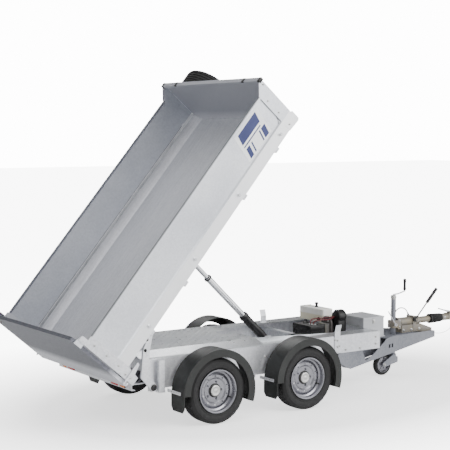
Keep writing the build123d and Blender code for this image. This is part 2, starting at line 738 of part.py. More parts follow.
def draw_shaft():
    """Sliding shaft with the ball coupling on its front end, open below."""
    shaft = rod((2790, 0, COUPLING_Z), (3110, 0, COUPLING_Z), SHAFT_R)
    shaft += rod((3100, 0, COUPLING_Z), (3262, 0, COUPLING_Z), 34)
    shaft += plate_xz([(3180, 452), (3262, 440), (3346, 440), (3350, 470), (3338, 498), (3300, 510), (3180, 512)],
                      -34, 34)
    shaft += box(3205, 3245, -20, 20, 508, 530)
    shaft -= box(3200, 3250, -8, 8, 507.5, 540)
    socket = Pos(BALL_X, 0, BALL_Z) * Sphere(25.6)
    socket += rod((BALL_X, 0, 430), (BALL_X, 0, BALL_Z), 25.6)
    return shaft - socket - rod((3225, -30, 522), (3225, 30, 522), 4.05)


def coupling_latch():
    """Hand lever on top of the coupling head with its pivot pin."""
    lever = plate_xz([(3214, 517), (3236, 517), (3238, 532), (3210, 540), (3150, 552), (3078, 572), (3074, 562),
                      (3146, 540)], -7, 7)
    return lever + rod((3225, -20, 522), (3225, 20, 522), 4)


def bellows():
    """Ribbed rubber boot that telescopes over the housing nose."""
    ribs = 9
    x0, x1 = 2948, 3099
    pitch = (x1 - x0) / ribs
    boot = None
    for k in range(ribs):
        base = x0 + k * pitch
        cone = rod((base, 0, COUPLING_Z), (base + pitch, 0, COUPLING_Z), 42 - 0.6 * k)
        cone += rod((base + pitch * 0.25, 0, COUPLING_Z), (base + pitch * 0.75, 0, COUPLING_Z), 47 - 0.6 * k)
        boot = cone if boot is None else boot + cone
    boot -= rod((x0 - 1, 0, COUPLING_Z), (x1 + 1, 0, COUPLING_Z), 34)
    return boot


LEVER_PIVOT = (2720, -56, 500)
LEVER_TIP = (2990, 774)


def handbrake():
    """Bent brake lever on its boss with a long rubber grip."""
    px, py, pz = LEVER_PIVOT
    tx, tz = LEVER_TIP
    dx, dz = tx - px, tz - pz
    grip_start = (px + 0.56 * dx, py, pz + 0.56 * dz)
    grip = rod(grip_start, (tx, py, tz), 15)
    lever = rod((px, py, pz), (px + 0.9 * dx, py, pz + 0.9 * dz), 7) + grip
    lever += rod((px, py - 8, pz), (px, py + 8, pz), 24)
    return lever - rod((px, py - 20, pz), (px, py + 20, pz), 10 + BORE_FIT)


def jockey_outer():
    """Outer tube held in the clamp block behind the coupling."""
    tube_ = ring((JOCKEY_X, 0, 330), (JOCKEY_X, 0, 725), 24, 20.5)
    tube_ += ring((JOCKEY_X, 0, 722), (JOCKEY_X, 0, 740), 21, 9)
    return tube_


def jockey_clamp():
    """Split clamp block round the outer tube, bolted to the coupling housing."""
    block = box(JOCKEY_X - 36, 2516, -38, 38, 435, 505)
    block -= rod((JOCKEY_X, 0, 430), (JOCKEY_X, 0, 510), 24.05)
    block += rod((JOCKEY_X - 20, -37, 470), (JOCKEY_X - 20, -62, 470), 8)
    return block


def clamp_lever():
    x = JOCKEY_X - 20
    lever = rod((x, -66, 470), (x, -50, 470), 13) - rod((x, -80, 470), (x, -40, 470), 8 + BORE_FIT)
    return lever + rod((x - 6.5, -58, 479.5), (x - 95, -58, 604), 5)


def jockey_inner():
    """Lower tube and its thread block, which slide in the outer tube."""
    foot = ring((JOCKEY_X, 0, 188), (JOCKEY_X, 0, 230), 20, 7.9 + BORE_FIT)
    return foot + ring((JOCKEY_X, 0, 229), (JOCKEY_X, 0, 640), 20, 11)


def jockey_crank():
    """Spindle, cranked arm and the upright that the grip turns on."""
    crank = rod((JOCKEY_X, 0, 650), (JOCKEY_X, 0, 752), 8)
    crank += rod((JOCKEY_X, 0, 748), (JOCKEY_X + 60, 0, 752), 7) + rod((JOCKEY_X + 60, 0, 752),
                                                                       (JOCKEY_X + 142, 0, 772), 7)
    return crank + rod((JOCKEY_X + 140, 0, 766), (JOCKEY_X + 140, 0, 888), 6)


def crank_grip():
    x = JOCKEY_X + 140
    return ring((x, 0, 780), (x, 0, 884), 15, 6 + BORE_FIT)


WHEEL_BACK = 138
JOCKEY_WHEEL_R = 100


def jockey_fork():
    """Swivel fork under the inner tube, trailing the wheel behind."""
    fork = rod((JOCKEY_X, 0, 150), (JOCKEY_X, 0, 187.5), 30)
    fork += rod((JOCKEY_X, 0, 186), (JOCKEY_X, 0, 215), 7.9)
    axle = JOCKEY_X - WHEEL_BACK
    fork += box(JOCKEY_X - 30, JOCKEY_X + 28, -37, 37, 150, 162)
    for side in (-1, 1):
        y0, y1 = bar_between(side, 32, 37)
        fork += plate_xz([(JOCKEY_X + 28, 162), (JOCKEY_X - 30, 186), (axle - 18, 118), (axle - 22, 100),
                          (axle - 10, 80), (axle + 10, 80), (JOCKEY_X + 28, 112)], y0, y1)
    return fork + rod((axle, -40, JOCKEY_WHEEL_R), (axle, 40, JOCKEY_WHEEL_R), 8)


def jockey_wheel():
    """Solid rubber tyre on a dished steel centre."""
    x = JOCKEY_X - WHEEL_BACK
    profile = [(8 + BORE_FIT, -26), (20, -26), (20, -8), (62, -8), (62, -24), (74, -24), (92, -22), (100, -12),
               (100, 12), (92, 22), (74, 24), (62, 24), (62, 8), (20, 8), (20, 26), (8 + BORE_FIT, 26)]
    return Pos(x, 0, JOCKEY_WHEEL_R) * turned(profile)


# ---------------------------------------------------------------- control box, cables
def control_box():
    """Steel box on a shelf ahead of the chassis for the remote and the charger."""
    shell = box(1860, 2100, -300, 0, 440, 603) - box(1864, 2096, -296, -4, 444, 610)
    shelf = box(1850.5, 2108, -312, 30, 434, 439.5)
    hinge = rod((1868, 8, 604), (2092, 8, 604), 4) + box(1900, 2060, -1, 8, 588, 602)
    return shell + hinge, shelf


def box_lid():
    lid = box(1856, 2104, -304, 2, 604, 618) - box(1859, 2101, -301, -1, 603, 615)
    lid += ring((1870, 8, 604), (1895, 8, 604), 7.5, 4 + BORE_FIT) + box(1870, 1895, 1, 8, 608, 618)
    lid += ring((2065, 8, 604), (2090, 8, 604), 7.5, 4 + BORE_FIT) + box(2065, 2090, 1, 8, 608, 618)
    return lid


CABLE_POINTS = [(2538, 30, 520), (2538, 31, 556), (2556, 33, 588), (2590, 35, 606), (2632, 36, 608),
                (2672, 37, 594), (2702, 38, 566), (2714, 38, 530)]
CABLE_R = 5
BREAKAWAY_POINTS = [(2962, -34, 356), (2990, -38, 343), (3030, -42, 336), (3080, -43, 335), (3130, -42, 342),
                    (3185, -40, 362), (3222, -34, 396), (3238, -28, 436)]
BREAKAWAY_R = 2.5

write("battery_box", battery())
write("battery_leads", *[corded(lead(y, swing), 5) for y, swing in ((TERMINAL_Y[0], -16), (TERMINAL_Y[1], 18))])
write("oil_tank", tank())
write("tank_cap", tank_cap())
write("pump_motor", motor(), motor_hood())
write("pump_block", pump_block(), valve_block())
write("ram_hose", corded(HOSE_POINTS, HOSE_R))
write("drawbar", *[drawbar_arm(side) for side in (-1, 1)], *nose_block())
write("coupling_housing", coupling_housing())
write("draw_shaft_and_head", draw_shaft())
write("coupling_latch", coupling_latch())
write("shaft_bellows", bellows())
write("handbrake_lever", handbrake())
write("jockey_outer_tube", jockey_outer())
write("clamp_lever", clamp_lever())
write("jockey_inner_tube", jockey_inner())
write("jockey_crank", jockey_crank())
write("crank_grip", crank_grip())
write("jockey_fork", jockey_fork())
write("jockey_wheel", jockey_wheel())
write("control_box", *control_box())
write("control_box_lid", box_lid())
write("trailer_cable", corded(CABLE_POINTS, CABLE_R))
write("breakaway_cable", corded(BREAKAWAY_POINTS, BREAKAWAY_R))
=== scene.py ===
import math

import bmesh
import bpy
from mathutils import Matrix, Vector


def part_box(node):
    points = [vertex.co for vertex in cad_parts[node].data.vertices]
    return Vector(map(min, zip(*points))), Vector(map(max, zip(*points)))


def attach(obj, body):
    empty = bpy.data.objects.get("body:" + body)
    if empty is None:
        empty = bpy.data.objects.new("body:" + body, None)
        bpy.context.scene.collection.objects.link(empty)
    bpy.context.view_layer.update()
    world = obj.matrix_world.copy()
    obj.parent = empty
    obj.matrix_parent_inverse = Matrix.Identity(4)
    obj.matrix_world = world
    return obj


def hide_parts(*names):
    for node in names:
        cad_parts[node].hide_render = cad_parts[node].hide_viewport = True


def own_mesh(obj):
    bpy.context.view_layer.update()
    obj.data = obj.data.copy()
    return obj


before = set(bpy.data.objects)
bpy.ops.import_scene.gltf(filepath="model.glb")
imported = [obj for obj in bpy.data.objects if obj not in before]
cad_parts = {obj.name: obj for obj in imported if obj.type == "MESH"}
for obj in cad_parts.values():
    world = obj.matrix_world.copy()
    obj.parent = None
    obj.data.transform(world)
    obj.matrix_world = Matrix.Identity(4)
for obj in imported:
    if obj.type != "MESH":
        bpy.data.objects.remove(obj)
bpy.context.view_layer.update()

# Everything is in metres in the part's frame: +X to the hitch, +Z up, ground at Z = 0.
REAR_AXLE_X = -1.040
AXLE_SPACING = 0.888
WHEEL_Y = 0.660
TYRE_R = 0.261
RAIL_Y = 0.530
ARM_FACE_Y = 0.5572
BODY_HALF = 0.721
WALL_Y = 0.7092
TIP_PIN = (-1.520, 0.318)
TIP = math.radians(49.43)
ANCHOR = Vector((-1.797, 0.0, 0.394))
BODY = Matrix.Translation(ANCHOR) @ Matrix.Rotation(-TIP, 4, "Y")
SIDES = {"right": -1, "left": 1}
AXLES = {"rear": REAR_AXLE_X, "front": REAR_AXLE_X + AXLE_SPACING}
WHEELS = [(f"{axle}_{name}", x, side) for axle, x in AXLES.items() for name, side in SIDES.items()]


# Materials
def join(tree, socket, value):
    """Links a socket to an output, or sets it to a plain value."""
    if hasattr(value, "is_output"):
        tree.links.new(value, socket)
    else:
        socket.default_value = value


class Shader:
    """A node material with one Principled shader and short names for making and joining nodes."""

    def __init__(self, name, colour, metallic=0.0, roughness=0.5):
        self.material = bpy.data.materials.new(name)
        self.material.use_nodes = True
        self.tree = self.material.node_tree
        self.shader = self.tree.nodes["Principled BSDF"]
        self.shader.inputs["Base Color"].default_value = (*colour, 1)
        self.shader.inputs["Metallic"].default_value = metallic
        self.shader.inputs["Roughness"].default_value = roughness
        self.coords = self.tree.nodes.new("ShaderNodeTexCoord").outputs["Object"]

    def node(self, kind, **inputs):
        made = self.tree.nodes.new("ShaderNode" + kind)
        for key, value in inputs.items():
            join(self.tree, made.inputs[key.replace("_", " ")], value)
        return made

    def stretched(self, scale):
        return self.node("Mapping", Vector=self.coords, Scale=scale).outputs["Vector"]

    def noise(self, scale, detail=3.0, stretch=(1, 1, 1)):
        made = self.node("TexNoise", Vector=self.stretched(stretch), Scale=scale, Detail=detail)
        return made.outputs["Fac"]

    def cells(self, scale, output="Color"):
        return self.node("TexVoronoi", Vector=self.coords, Scale=scale).outputs[output]

    def ramp(self, value, low, high, stops=(0.3, 0.7)):
        made = self.node("ValToRGB", Fac=value)
        for element, place, colour in zip(made.color_ramp.elements, stops, (low, high)):
            element.position = place
            element.color = (*colour, 1)
        return made.outputs["Color"]

    def span(self, value, low, high, from_low=0.0, from_high=1.0):
        made = self.node("MapRange", Value=value, From_Min=from_low, From_Max=from_high,
                         To_Min=low, To_Max=high)
        return made.outputs["Result"]

    def mix(self, factor, first, second, blend="MIX"):
        made = self.tree.nodes.new("ShaderNodeMix")
        made.data_type = "RGBA"
        made.blend_type = blend
        for index, value in ((0, factor), (6, first), (7, second)):
            join(self.tree, made.inputs[index], (*value, 1) if isinstance(value, tuple) else value)
        return made.outputs[2]

    def colour(self, output):
        self.tree.links.new(output, self.shader.inputs["Base Color"])

    def rough(self, output):
        self.tree.links.new(output, self.shader.inputs["Roughness"])

    def bump(self, height, strength, distance):
        made = self.node("Bump", Height=height, Strength=strength, Distance=distance)
        self.tree.links.new(made.outputs["Normal"], self.shader.inputs["Normal"])


def galvanised(name, low, high, metallic, spangle=70.0, rough=(0.30, 0.48)):
    """Hot-dip zinc: crystal spangle, slow drifts of tone and a soft uneven sheen."""
    s = Shader(name, high, metallic, 0.45)
    crystal = s.node("SeparateColor", Color=s.cells(spangle)).outputs["Red"]
    drift = s.noise(2.2, 5.0, (1, 1, 0.6))
    base = s.ramp(crystal, low, high, (0.0, 1.0))
    dull = tuple(0.80 * c for c in low)
    cloud = s.ramp(drift, (1, 1, 1), (0.72, 0.73, 0.76), (0.40, 0.74))
    stained = s.mix(0.85, base, cloud, "MULTIPLY")
    specks = s.span(s.noise(150.0, 3.0), 0.0, 0.8, 0.64, 0.72)
    streaks = s.span(s.noise(9.0, 4.0, (3.0, 3.0, 0.4)), 0.0, 0.35, 0.55, 0.75)
    s.colour(s.mix(streaks, s.mix(specks, stained, dull), dull))
    s.rough(s.span(s.noise(26.0, 4.0), rough[0], rough[1]))
    s.bump(s.noise(90.0, 3.0), 0.10, 0.0008)
    return s.material


def painted(name, colour, roughness, grain, metallic=0.0, chips=None):
    """Paint with orange peel, slow fading and, where it is given, rubbed spots."""
    s = Shader(name, colour, metallic, roughness)
    faded = tuple(min(1, 1.18 * c + 0.012) for c in colour)
    base = s.ramp(s.noise(5.0, 5.0), colour, faded, (0.35, 0.75))
    if chips:
        spots = s.span(s.noise(42.0, 6.0), 0.0, 1.0, 0.69, 0.72)
        base = s.mix(spots, base, chips)
    s.colour(base)
    s.rough(s.span(s.noise(18.0, 4.0), 0.8 * roughness, 1.2 * roughness))
    s.bump(s.noise(grain, 2.0), 0.10, 0.0004)
    return s.material


def moulded(name, colour, roughness, grain):
    """Moulded plastic with a fine spark texture and dusty patches."""
    s = Shader(name, colour, 0.0, roughness)
    dusty = tuple(c + 0.006 for c in colour)
    s.colour(s.ramp(s.noise(7.0, 6.0), colour, dusty, (0.40, 0.78)))
    s.rough(s.span(s.noise(30.0, 3.0), roughness - 0.08, roughness + 0.12))
    s.bump(s.cells(grain, "Distance"), 0.25, 0.0003)
    return s.material


def rubber(name, colour, roughness):
    """Rubber with a pale bloom and a fine grain."""
    s = Shader(name, colour, 0.0, roughness)
    bloom = tuple(c + 0.006 for c in colour)
    s.colour(s.ramp(s.noise(11.0, 8.0), colour, bloom, (0.38, 0.82)))
    s.rough(s.span(s.noise(60.0, 4.0), roughness - 0.1, roughness + 0.15))
    s.bump(s.noise(420.0, 5.0), 0.22, 0.0005)
    return s.material


def chrome():
    """Hard chrome with fine polishing marks."""
    s = Shader("hard_chrome", (0.80, 0.81, 0.83), 1.0, 0.12)
    s.colour(s.ramp(s.noise(6.0, 3.0), (0.72, 0.73, 0.76), (0.86, 0.87, 0.88)))
    s.rough(s.span(s.noise(340.0, 2.0, (1, 1, 0.1)), 0.07, 0.20))
    s.bump(s.noise(900.0, 2.0, (1, 1, 0.05)), 0.05, 0.0002)
    return s.material


def cast_metal(name, colour):
    """Sand-cast or plated metal with a pitted skin."""
    s = Shader(name, colour, 0.55, 0.5)
    warm = (colour[0] * 1.12, colour[1] * 1.05, colour[2] * 0.82)
    s.colour(s.ramp(s.noise(16.0, 6.0), colour, warm, (0.38, 0.72)))
    s.rough(s.span(s.noise(55.0, 5.0), 0.38, 0.66))
    s.bump(s.noise(260.0, 6.0), 0.35, 0.0008)
    return s.material


def tank_plastic():
    """Natural polyethylene: milky, slightly yellow, with the oil showing as a darker lower half."""
    s = Shader("tank_polyethylene", (0.86, 0.85, 0.79), 0.0, 0.38)
    height = s.node("SeparateXYZ", Vector=s.coords).outputs["Z"]
    level = s.span(height, 0.0, 1.0, 0.596, 0.604)
    cloud = s.ramp(s.noise(14.0, 5.0), (0.84, 0.83, 0.76), (0.93, 0.92, 0.88))
    s.colour(s.mix(level, (0.74, 0.70, 0.55), cloud))
    s.shader.inputs["Subsurface Weight"].default_value = 0.25
    s.shader.inputs["Subsurface Radius"].default_value = (0.02, 0.018, 0.012)
    s.rough(s.span(s.noise(40.0, 3.0), 0.30, 0.46))
    s.bump(s.noise(220.0, 3.0), 0.14, 0.0006)
    return s.material


def lens(name, colour):
    """Ribbed lamp lens."""
    s = Shader(name, colour, 0.0, 0.12)
    deep = tuple(0.55 * c for c in colour)
    s.colour(s.ramp(s.cells(160.0, "Distance"), deep, colour, (0.1, 0.6)))
    s.shader.inputs["Coat Weight"].default_value = 0.6
    s.rough(s.span(s.noise(24.0, 3.0), 0.08, 0.2))
    s.bump(s.cells(220.0, "Distance"), 0.4, 0.001)
    return s.material


FLOOR_LIGHT_V = (0.142, 0.250)
HEADBOARD_LIGHT_U = (2.38, 2.45)
SKIRT_HIGHLIGHT_V = (0.226, 0.229)
INSIDE_SHADE_Y = (0.7035, 0.7055)


def body_sheet():
    """Sheet of the body: bright outside with a skirt painted paler as a painted highlight, and a dark inside
    as painted shade, painted less dark on the headboard and floor as painted light.

    The tones are placed in the raised body's own axes, which turned gives.
    """
    s = Shader("galvanised_body_sheet", (0.60, 0.62, 0.66), 0.85, 0.34)
    turned = s.node("VectorRotate", Vector=s.coords, Angle=TIP, Axis=(0, 1, 0), Center=tuple(ANCHOR))
    across = s.node("SeparateXYZ", Vector=turned.outputs["Vector"])
    inside_wall = s.node("Math", Value=across.outputs["Y"])
    inside_wall.operation = "ABSOLUTE"
    # Mask of the sheet's inside faces, which are painted dark as painted shade.
    inner = s.span(inside_wall.outputs["Value"], 1.0, 0.0, *INSIDE_SHADE_Y)
    # Up to this band the inside is coloured as the floor, which is painted lighter than the walls as painted
    # light from above.
    wall = s.span(across.outputs["Z"], 0.0, 1.0, *(ANCHOR.z + v for v in FLOOR_LIGHT_V))
    crystal = s.node("SeparateColor", Color=s.cells(85.0)).outputs["Red"]
    bright = s.ramp(crystal, (0.66, 0.68, 0.72), (0.74, 0.76, 0.80), (0.0, 1.0))
    drift = s.ramp(s.noise(1.6, 5.0), (1, 1, 1), (0.74, 0.75, 0.78), (0.42, 0.75))
    bright = s.mix(0.8, bright, drift, "MULTIPLY")
    # Painted shade: the inside of the body is coloured dark for the shade that falls in it, with brushed
    # streaks over it.
    inside_shade = s.ramp(crystal, (0.135, 0.140, 0.165), (0.175, 0.180, 0.205), (0.0, 1.0))
    run = s.node("Mapping", Vector=turned.outputs["Vector"], Scale=(0.35, 6.0, 3.0)).outputs["Vector"]
    brushed = s.node("TexNoise", Vector=run, Scale=14.0, Detail=6.0).outputs["Fac"]
    inside_shade = s.mix(0.9, inside_shade, s.ramp(brushed, (1.0, 1.0, 1.0), (0.66, 0.67, 0.70), (0.35, 0.80)), "MULTIPLY")
    # Painted light: the floor is the same sheet, coloured lighter than the inside walls.
    lit_floor = s.mix(0.8, s.ramp(crystal, (0.60, 0.61, 0.65), (0.68, 0.69, 0.73), (0.0, 1.0)),
                       s.ramp(brushed, (1.0, 1.0, 1.0), (0.80, 0.81, 0.83), (0.35, 0.80)), "MULTIPLY")
    # Painted shade, lighter on the headboard: its inside face is coloured paler than the inside faces of the
    # side walls.
    front = s.span(across.outputs["X"], 0.0, 1.0, *(ANCHOR.x + u for u in HEADBOARD_LIGHT_U))
    inside_shade = s.mix(front, inside_shade, (0.36, 0.37, 0.41))
    # Painted highlight: the skirt below the step is coloured paler for the bright light it reflects from the
    # floor.
    skirt = s.span(across.outputs["Z"], 1.0, 0.0, *(ANCHOR.z + v for v in SKIRT_HIGHLIGHT_V))
    bright = s.mix(skirt, bright, (0.90, 0.91, 0.93))
    s.colour(s.mix(inner, bright, s.mix(wall, lit_floor, inside_shade)))
    s.tree.links.new(s.span(inner, 0.85, 0.55), s.shader.inputs["Metallic"])
    s.rough(s.mix(inner, s.span(brushed, 0.26, 0.44), s.span(brushed, 0.42, 0.56)))
    s.bump(s.noise(70.0, 3.0), 0.10, 0.0008)
    return s.material


STEEL = galvanised("galvanised_steel", (0.72, 0.73, 0.76), (0.86, 0.87, 0.89), 0.75)
# Painted shadow: a dark galvanised colour for the shade under the step above the skirt.
STEP_SHADOW = galvanised("seam_shadow", (0.10, 0.10, 0.11), (0.14, 0.14, 0.15), 0.6)
SHEET = body_sheet()
# Painted shade: the drawbar and jockey parts are the same galvanised steel, coloured darker for the shade
# they stand in.
SHADED_DRAWBAR = galvanised("drawbar_steel_painted_shade", (0.25, 0.26, 0.29), (0.31, 0.32, 0.35), 0.7)
TREAD = galvanised("tread_plate", (0.66, 0.68, 0.70), (0.80, 0.81, 0.82), 0.9, 120.0, (0.22, 0.38))
ZINC = galvanised("zinc_fasteners", (0.50, 0.50, 0.49), (0.66, 0.66, 0.64), 0.9, 260.0)
WHEEL_PAINT = painted("wheel_silver", (0.26, 0.26, 0.285), 0.28, 420.0, 0.85)
BOX_PAINT = painted("box_grey", (0.42, 0.43, 0.45), 0.40, 300.0, 0.15)
RAM_PAINT = painted("ram_black", (0.004, 0.004, 0.005), 0.28, 260.0, 0.0, (0.03, 0.03, 0.03))
MOTOR_PAINT = painted("motor_bronze_grey", (0.085, 0.076, 0.074), 0.40, 260.0, 0.3)
BLUE_FILM = painted("blue_stripe_film", (0.010, 0.018, 0.105), 0.32, 500.0)
WHITE_FILM = painted("white_stripe_film", (0.82, 0.84, 0.86), 0.32, 500.0)
GUARD = moulded("mudguard_plastic", (0.0030, 0.0045, 0.0038), 0.46, 700.0)
BLACK = moulded("black_plastic", (0.0032, 0.0032, 0.0036), 0.42, 1000.0)
TYRE = rubber("tyre_rubber", (0.0045, 0.0045, 0.0050), 0.66)
BOOT = rubber("soft_rubber", (0.0040, 0.0040, 0.0044), 0.50)
RED_LEAD = rubber("red_lead_sheath", (0.10, 0.006, 0.010), 0.42)
CHROME = chrome()
CAST = cast_metal("cast_housing", (0.24, 0.225, 0.205))
PUMP = cast_metal("pump_aluminium", (0.20, 0.20, 0.205))
TANK = tank_plastic()
RED = lens("red_lens", (0.50, 0.010, 0.012))
AMBER = lens("amber_lens", (0.80, 0.20, 0.010))
CLEAR = lens("white_lens", (0.78, 0.78, 0.80))

NODE_MATERIALS = {
    SHEET: ["body_floor", "headboard", "side_wall_right", "side_wall_left", "tailgate"],
    TREAD: ["tread_deck"],
    WHEEL_PAINT: ["spare_rim"] + [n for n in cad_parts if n.startswith("rim_and_hub")],
    GUARD: ["mudguards"],
    BLACK: ["battery_box", "crank_grip", "tank_cap", "pump_motor"],
    RED: ["tail_lamps"],
    RAM_PAINT: ["ram_barrel"],
    CHROME: ["ram_stage_outer", "ram_stage_inner"],
    TANK: ["oil_tank"],
    PUMP: ["pump_block"],
    CAST: ["coupling_housing", "draw_shaft_and_head"],
    SHADED_DRAWBAR: ["drawbar", "jockey_outer_tube", "jockey_inner_tube", "jockey_fork"],
    BOOT: ["jockey_wheel", "ram_hose", "handbrake_lever"],
    RED_LEAD: ["battery_leads"],
    BOX_PAINT: ["control_box", "control_box_lid"],
}


def dress_nodes():
    """Gives every CAD node its material; a node that is not named above is galvanised steel."""
    chosen = {node: material for material, nodes in NODE_MATERIALS.items() for node in nodes}
    for name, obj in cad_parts.items():
        material = chosen.get(name, STEEL)
        if not obj.material_slots:
            obj.data.materials.append(material)
        for slot in obj.material_slots:
            slot.link = "OBJECT"
            slot.material = material


dress_nodes()


# Mesh helpers
def skin(bm, rings, gap=0):
    """Joins each ring of vertices to the next one, and the last to the first; gap leaves a seam open."""
    count = len(rings[0])
    for here, there in zip(rings, rings[1:] + rings[:1]):
        for j in range(count - gap):
            n = (j + 1) % count
            bm.faces.new((here[j], there[j], there[n], here[n]))


def enlist(name, data, body, replaces):
    """Makes the object of a piece, hides the CAD nodes that it replaces and puts it on its body."""
    obj = bpy.data.objects.new(name, data)
    bpy.context.scene.collection.objects.link(obj)
    if replaces:
        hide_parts(*replaces)
    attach(obj, body)
    return obj


class Build:
    """Collects faces for one piece. Each call may be given a matrix that places its shape."""

    def __init__(self):
        self.bm = bmesh.new()

    def take(self, other, matrix=None):
        mesh = bpy.data.meshes.new("part")
        other.to_mesh(mesh)
        other.free()
        if matrix is not None:
            mesh.transform(matrix)
        self.bm.from_mesh(mesh)
        bpy.data.meshes.remove(mesh)
        return self

    def block(self, low, high, edge, matrix=None):
        """Box with rounded edges from its lowest to its highest corner."""
        bm = bmesh.new()
        bmesh.ops.create_cube(bm, size=1)
        low, high = Vector(low), Vector(high)
        for vert in bm.verts:
            vert.co = Vector((low[i] + (vert.co[i] + 0.5) * (high[i] - low[i]) for i in range(3)))
        bmesh.ops.bevel(bm, geom=bm.edges[:], offset=edge, segments=2, affect="EDGES", profile=0.5)
        return self.take(bm, matrix)

    def lathe(self, profile, matrix=None, steps=48, closed=False):
        """Turns (radius, height) points about Z."""
        bm = bmesh.new()
        rings = []
        for k in range(steps):
            angle = 2 * math.pi * k / steps
            c, s = math.cos(angle), math.sin(angle)
            rings.append([bm.verts.new((r * c, r * s, h)) for r, h in profile])
        skin(bm, rings, 0 if closed else 1)
        bmesh.ops.remove_doubles(bm, verts=bm.verts[:], dist=1e-6)
        return self.take(bm, matrix)

    def prism(self, outline, low, high, edge=0.0, matrix=None):
        """Outline of (x, y) points raised from z = low to z = high."""
        bm = bmesh.new()
        bottom = [bm.verts.new((x, y, low)) for x, y in outline]
        top = [bm.verts.new((x, y, high)) for x, y in outline]
        bm.faces.new(bottom[::-1])
        bm.faces.new(top)
        for k in range(len(outline)):
            j = (k + 1) % len(outline)
            bm.faces.new((bottom[k], bottom[j], top[j], top[k]))
        if edge:
            bmesh.ops.bevel(bm, geom=bm.edges[:], offset=edge, segments=2, affect="EDGES", profile=0.5)
        return self.take(bm, matrix)

    def piece(self, name, material, body, smooth=40.0, replaces=()):
        """Makes the object; smooth is the angle in degrees past which an edge stays sharp."""
        bmesh.ops.recalc_face_normals(self.bm, faces=self.bm.faces[:])
        mesh = bpy.data.meshes.new(name)
        self.bm.to_mesh(mesh)
        self.bm.free()
        mesh.materials.append(material)
        mesh.shade_smooth()
        mesh.set_sharp_from_angle(angle=math.radians(smooth))
        return enlist(name, mesh, body, replaces)


def facing(point, direction):
    """Matrix that puts the local +Z of a small part along a direction at a point."""
    turn = Vector((0, 0, 1)).rotation_difference(Vector(direction)).to_matrix().to_4x4()
    return Matrix.Translation(point) @ turn


def in_body(u, y, v):
    """A point of the tipping body: u along its floor, v up from its foot."""
    return BODY @ Vector((u, y, v))


def body_direction(u, y, v):
    """A direction of the tipping body in the part's frame."""
    return BODY.to_3x3() @ Vector((u, y, v))


def hex_bolt(build, point, direction, size):
    """Hexagon head with a chamfered top on a flat washer; size is the thread."""
    across = 0.9 * size
    height = 0.62 * size
    place = facing(point, direction)
    base = 0.0016
    rim = 1.15 * size
    build.lathe([(0.001, 0), (rim, 0), (rim, 0.0012), (rim - 0.0005, base), (0.001, base)], place, 24)
    corners = [(across * math.cos(math.pi * k / 3), across * math.sin(math.pi * k / 3)) for k in range(6)]
    build.prism(corners, base, base + height, 0.0007, place)
    build.lathe([(0.0005, base + height), (0.42 * size, base + height), (0.42 * size, base + height + 0.003),
                 (0.36 * size, base + height + 0.004), (0.0005, base + height + 0.004)], place, 18)


# Tyres
TREAD_STEPS = 168
SIPE_PITCH = 6
GROOVES = (-0.036, -0.012, 0.012, 0.036)


def tyre_profile():
    """Outside of the section from one bead over the tread to the other, as (radius, y, is_tread)."""
    side = [(0.170, 0.055), (0.176, 0.064), (0.180, 0.068), (0.186, 0.0715), (0.189, 0.0745),
            (0.192, 0.0745), (0.195, 0.0725), (0.207, 0.0765), (0.222, 0.0772), (0.229, 0.0765),
            (0.231, 0.0780), (0.234, 0.0780), (0.236, 0.0755), (0.243, 0.0725), (0.249, 0.0680)]
    tread = [(0.2545, 0.0640), (0.2580, 0.0580), (0.2592, 0.0500)]
    for groove in sorted((g for g in GROOVES if g > 0), reverse=True):
        tread += [(0.2602, groove + 0.0042), (0.2530, groove + 0.0030), (0.2530, groove - 0.0030),
                  (0.2604, groove - 0.0042)]
    half = [(r, y, False) for r, y in side] + [(r, y, True) for r, y in tread]
    half.append((0.2606, 0.0, True))
    return half + [(r, -y, t) for r, y, t in reversed(half[:-1])]


def tyre_mesh(build, matrix):
    """Road tyre: four grooves, blocks cut by slanting sipes, ribbed walls and an inner skin."""
    bm = bmesh.new()
    profile = tyre_profile()
    inner = [(0.168, -0.050), (0.182, -0.060), (0.215, -0.064), (0.240, -0.052), (0.246, 0.0),
             (0.240, 0.052), (0.215, 0.064), (0.182, 0.060), (0.168, 0.050)]
    rings = []
    for k in range(TREAD_STEPS):
        angle = 2 * math.pi * k / TREAD_STEPS
        c, s = math.cos(angle), math.sin(angle)
        ring = []
        for r, y, tread in profile:
            lag = 3.5 * abs(y) / 0.06
            sipe = tread and r > 0.254 and (k + lag) % SIPE_PITCH < 1
            notch = not tread and 0.240 < r < 0.252 and k % SIPE_PITCH < 1
            radius = r - (0.0045 if sipe else 0.0) - (0.002 if notch else 0.0)
            ring.append(bm.verts.new((radius * c, y, radius * s)))
        ring += [bm.verts.new((r * c, y, r * s)) for r, y in inner]
        rings.append(ring)
    skin(bm, rings)
    build.take(bm, matrix)


SPARE_CENTRE = (2.598, 0.400, 0.340)


def make_tyres():
    """Four road tyres, and the spare on the front of the headboard."""
    for wheel, x, side in WHEELS:
        build = Build()
        tyre_mesh(build, Matrix.Translation((x, side * WHEEL_Y, TYRE_R)))
        build.piece(f"road_tyre_{wheel}", TYRE, f"wheel_{wheel}", 30.0, [f"tyre_{wheel}"])
    build = Build()
    lying = Matrix.Translation(SPARE_CENTRE) @ Matrix.Rotation(math.radians(-90), 4, "Z")
    tyre_mesh(build, BODY @ lying)
    build.piece("spare_road_tyre", TYRE, "tipping_body", 30.0, ["spare_tyre"])


make_tyres()


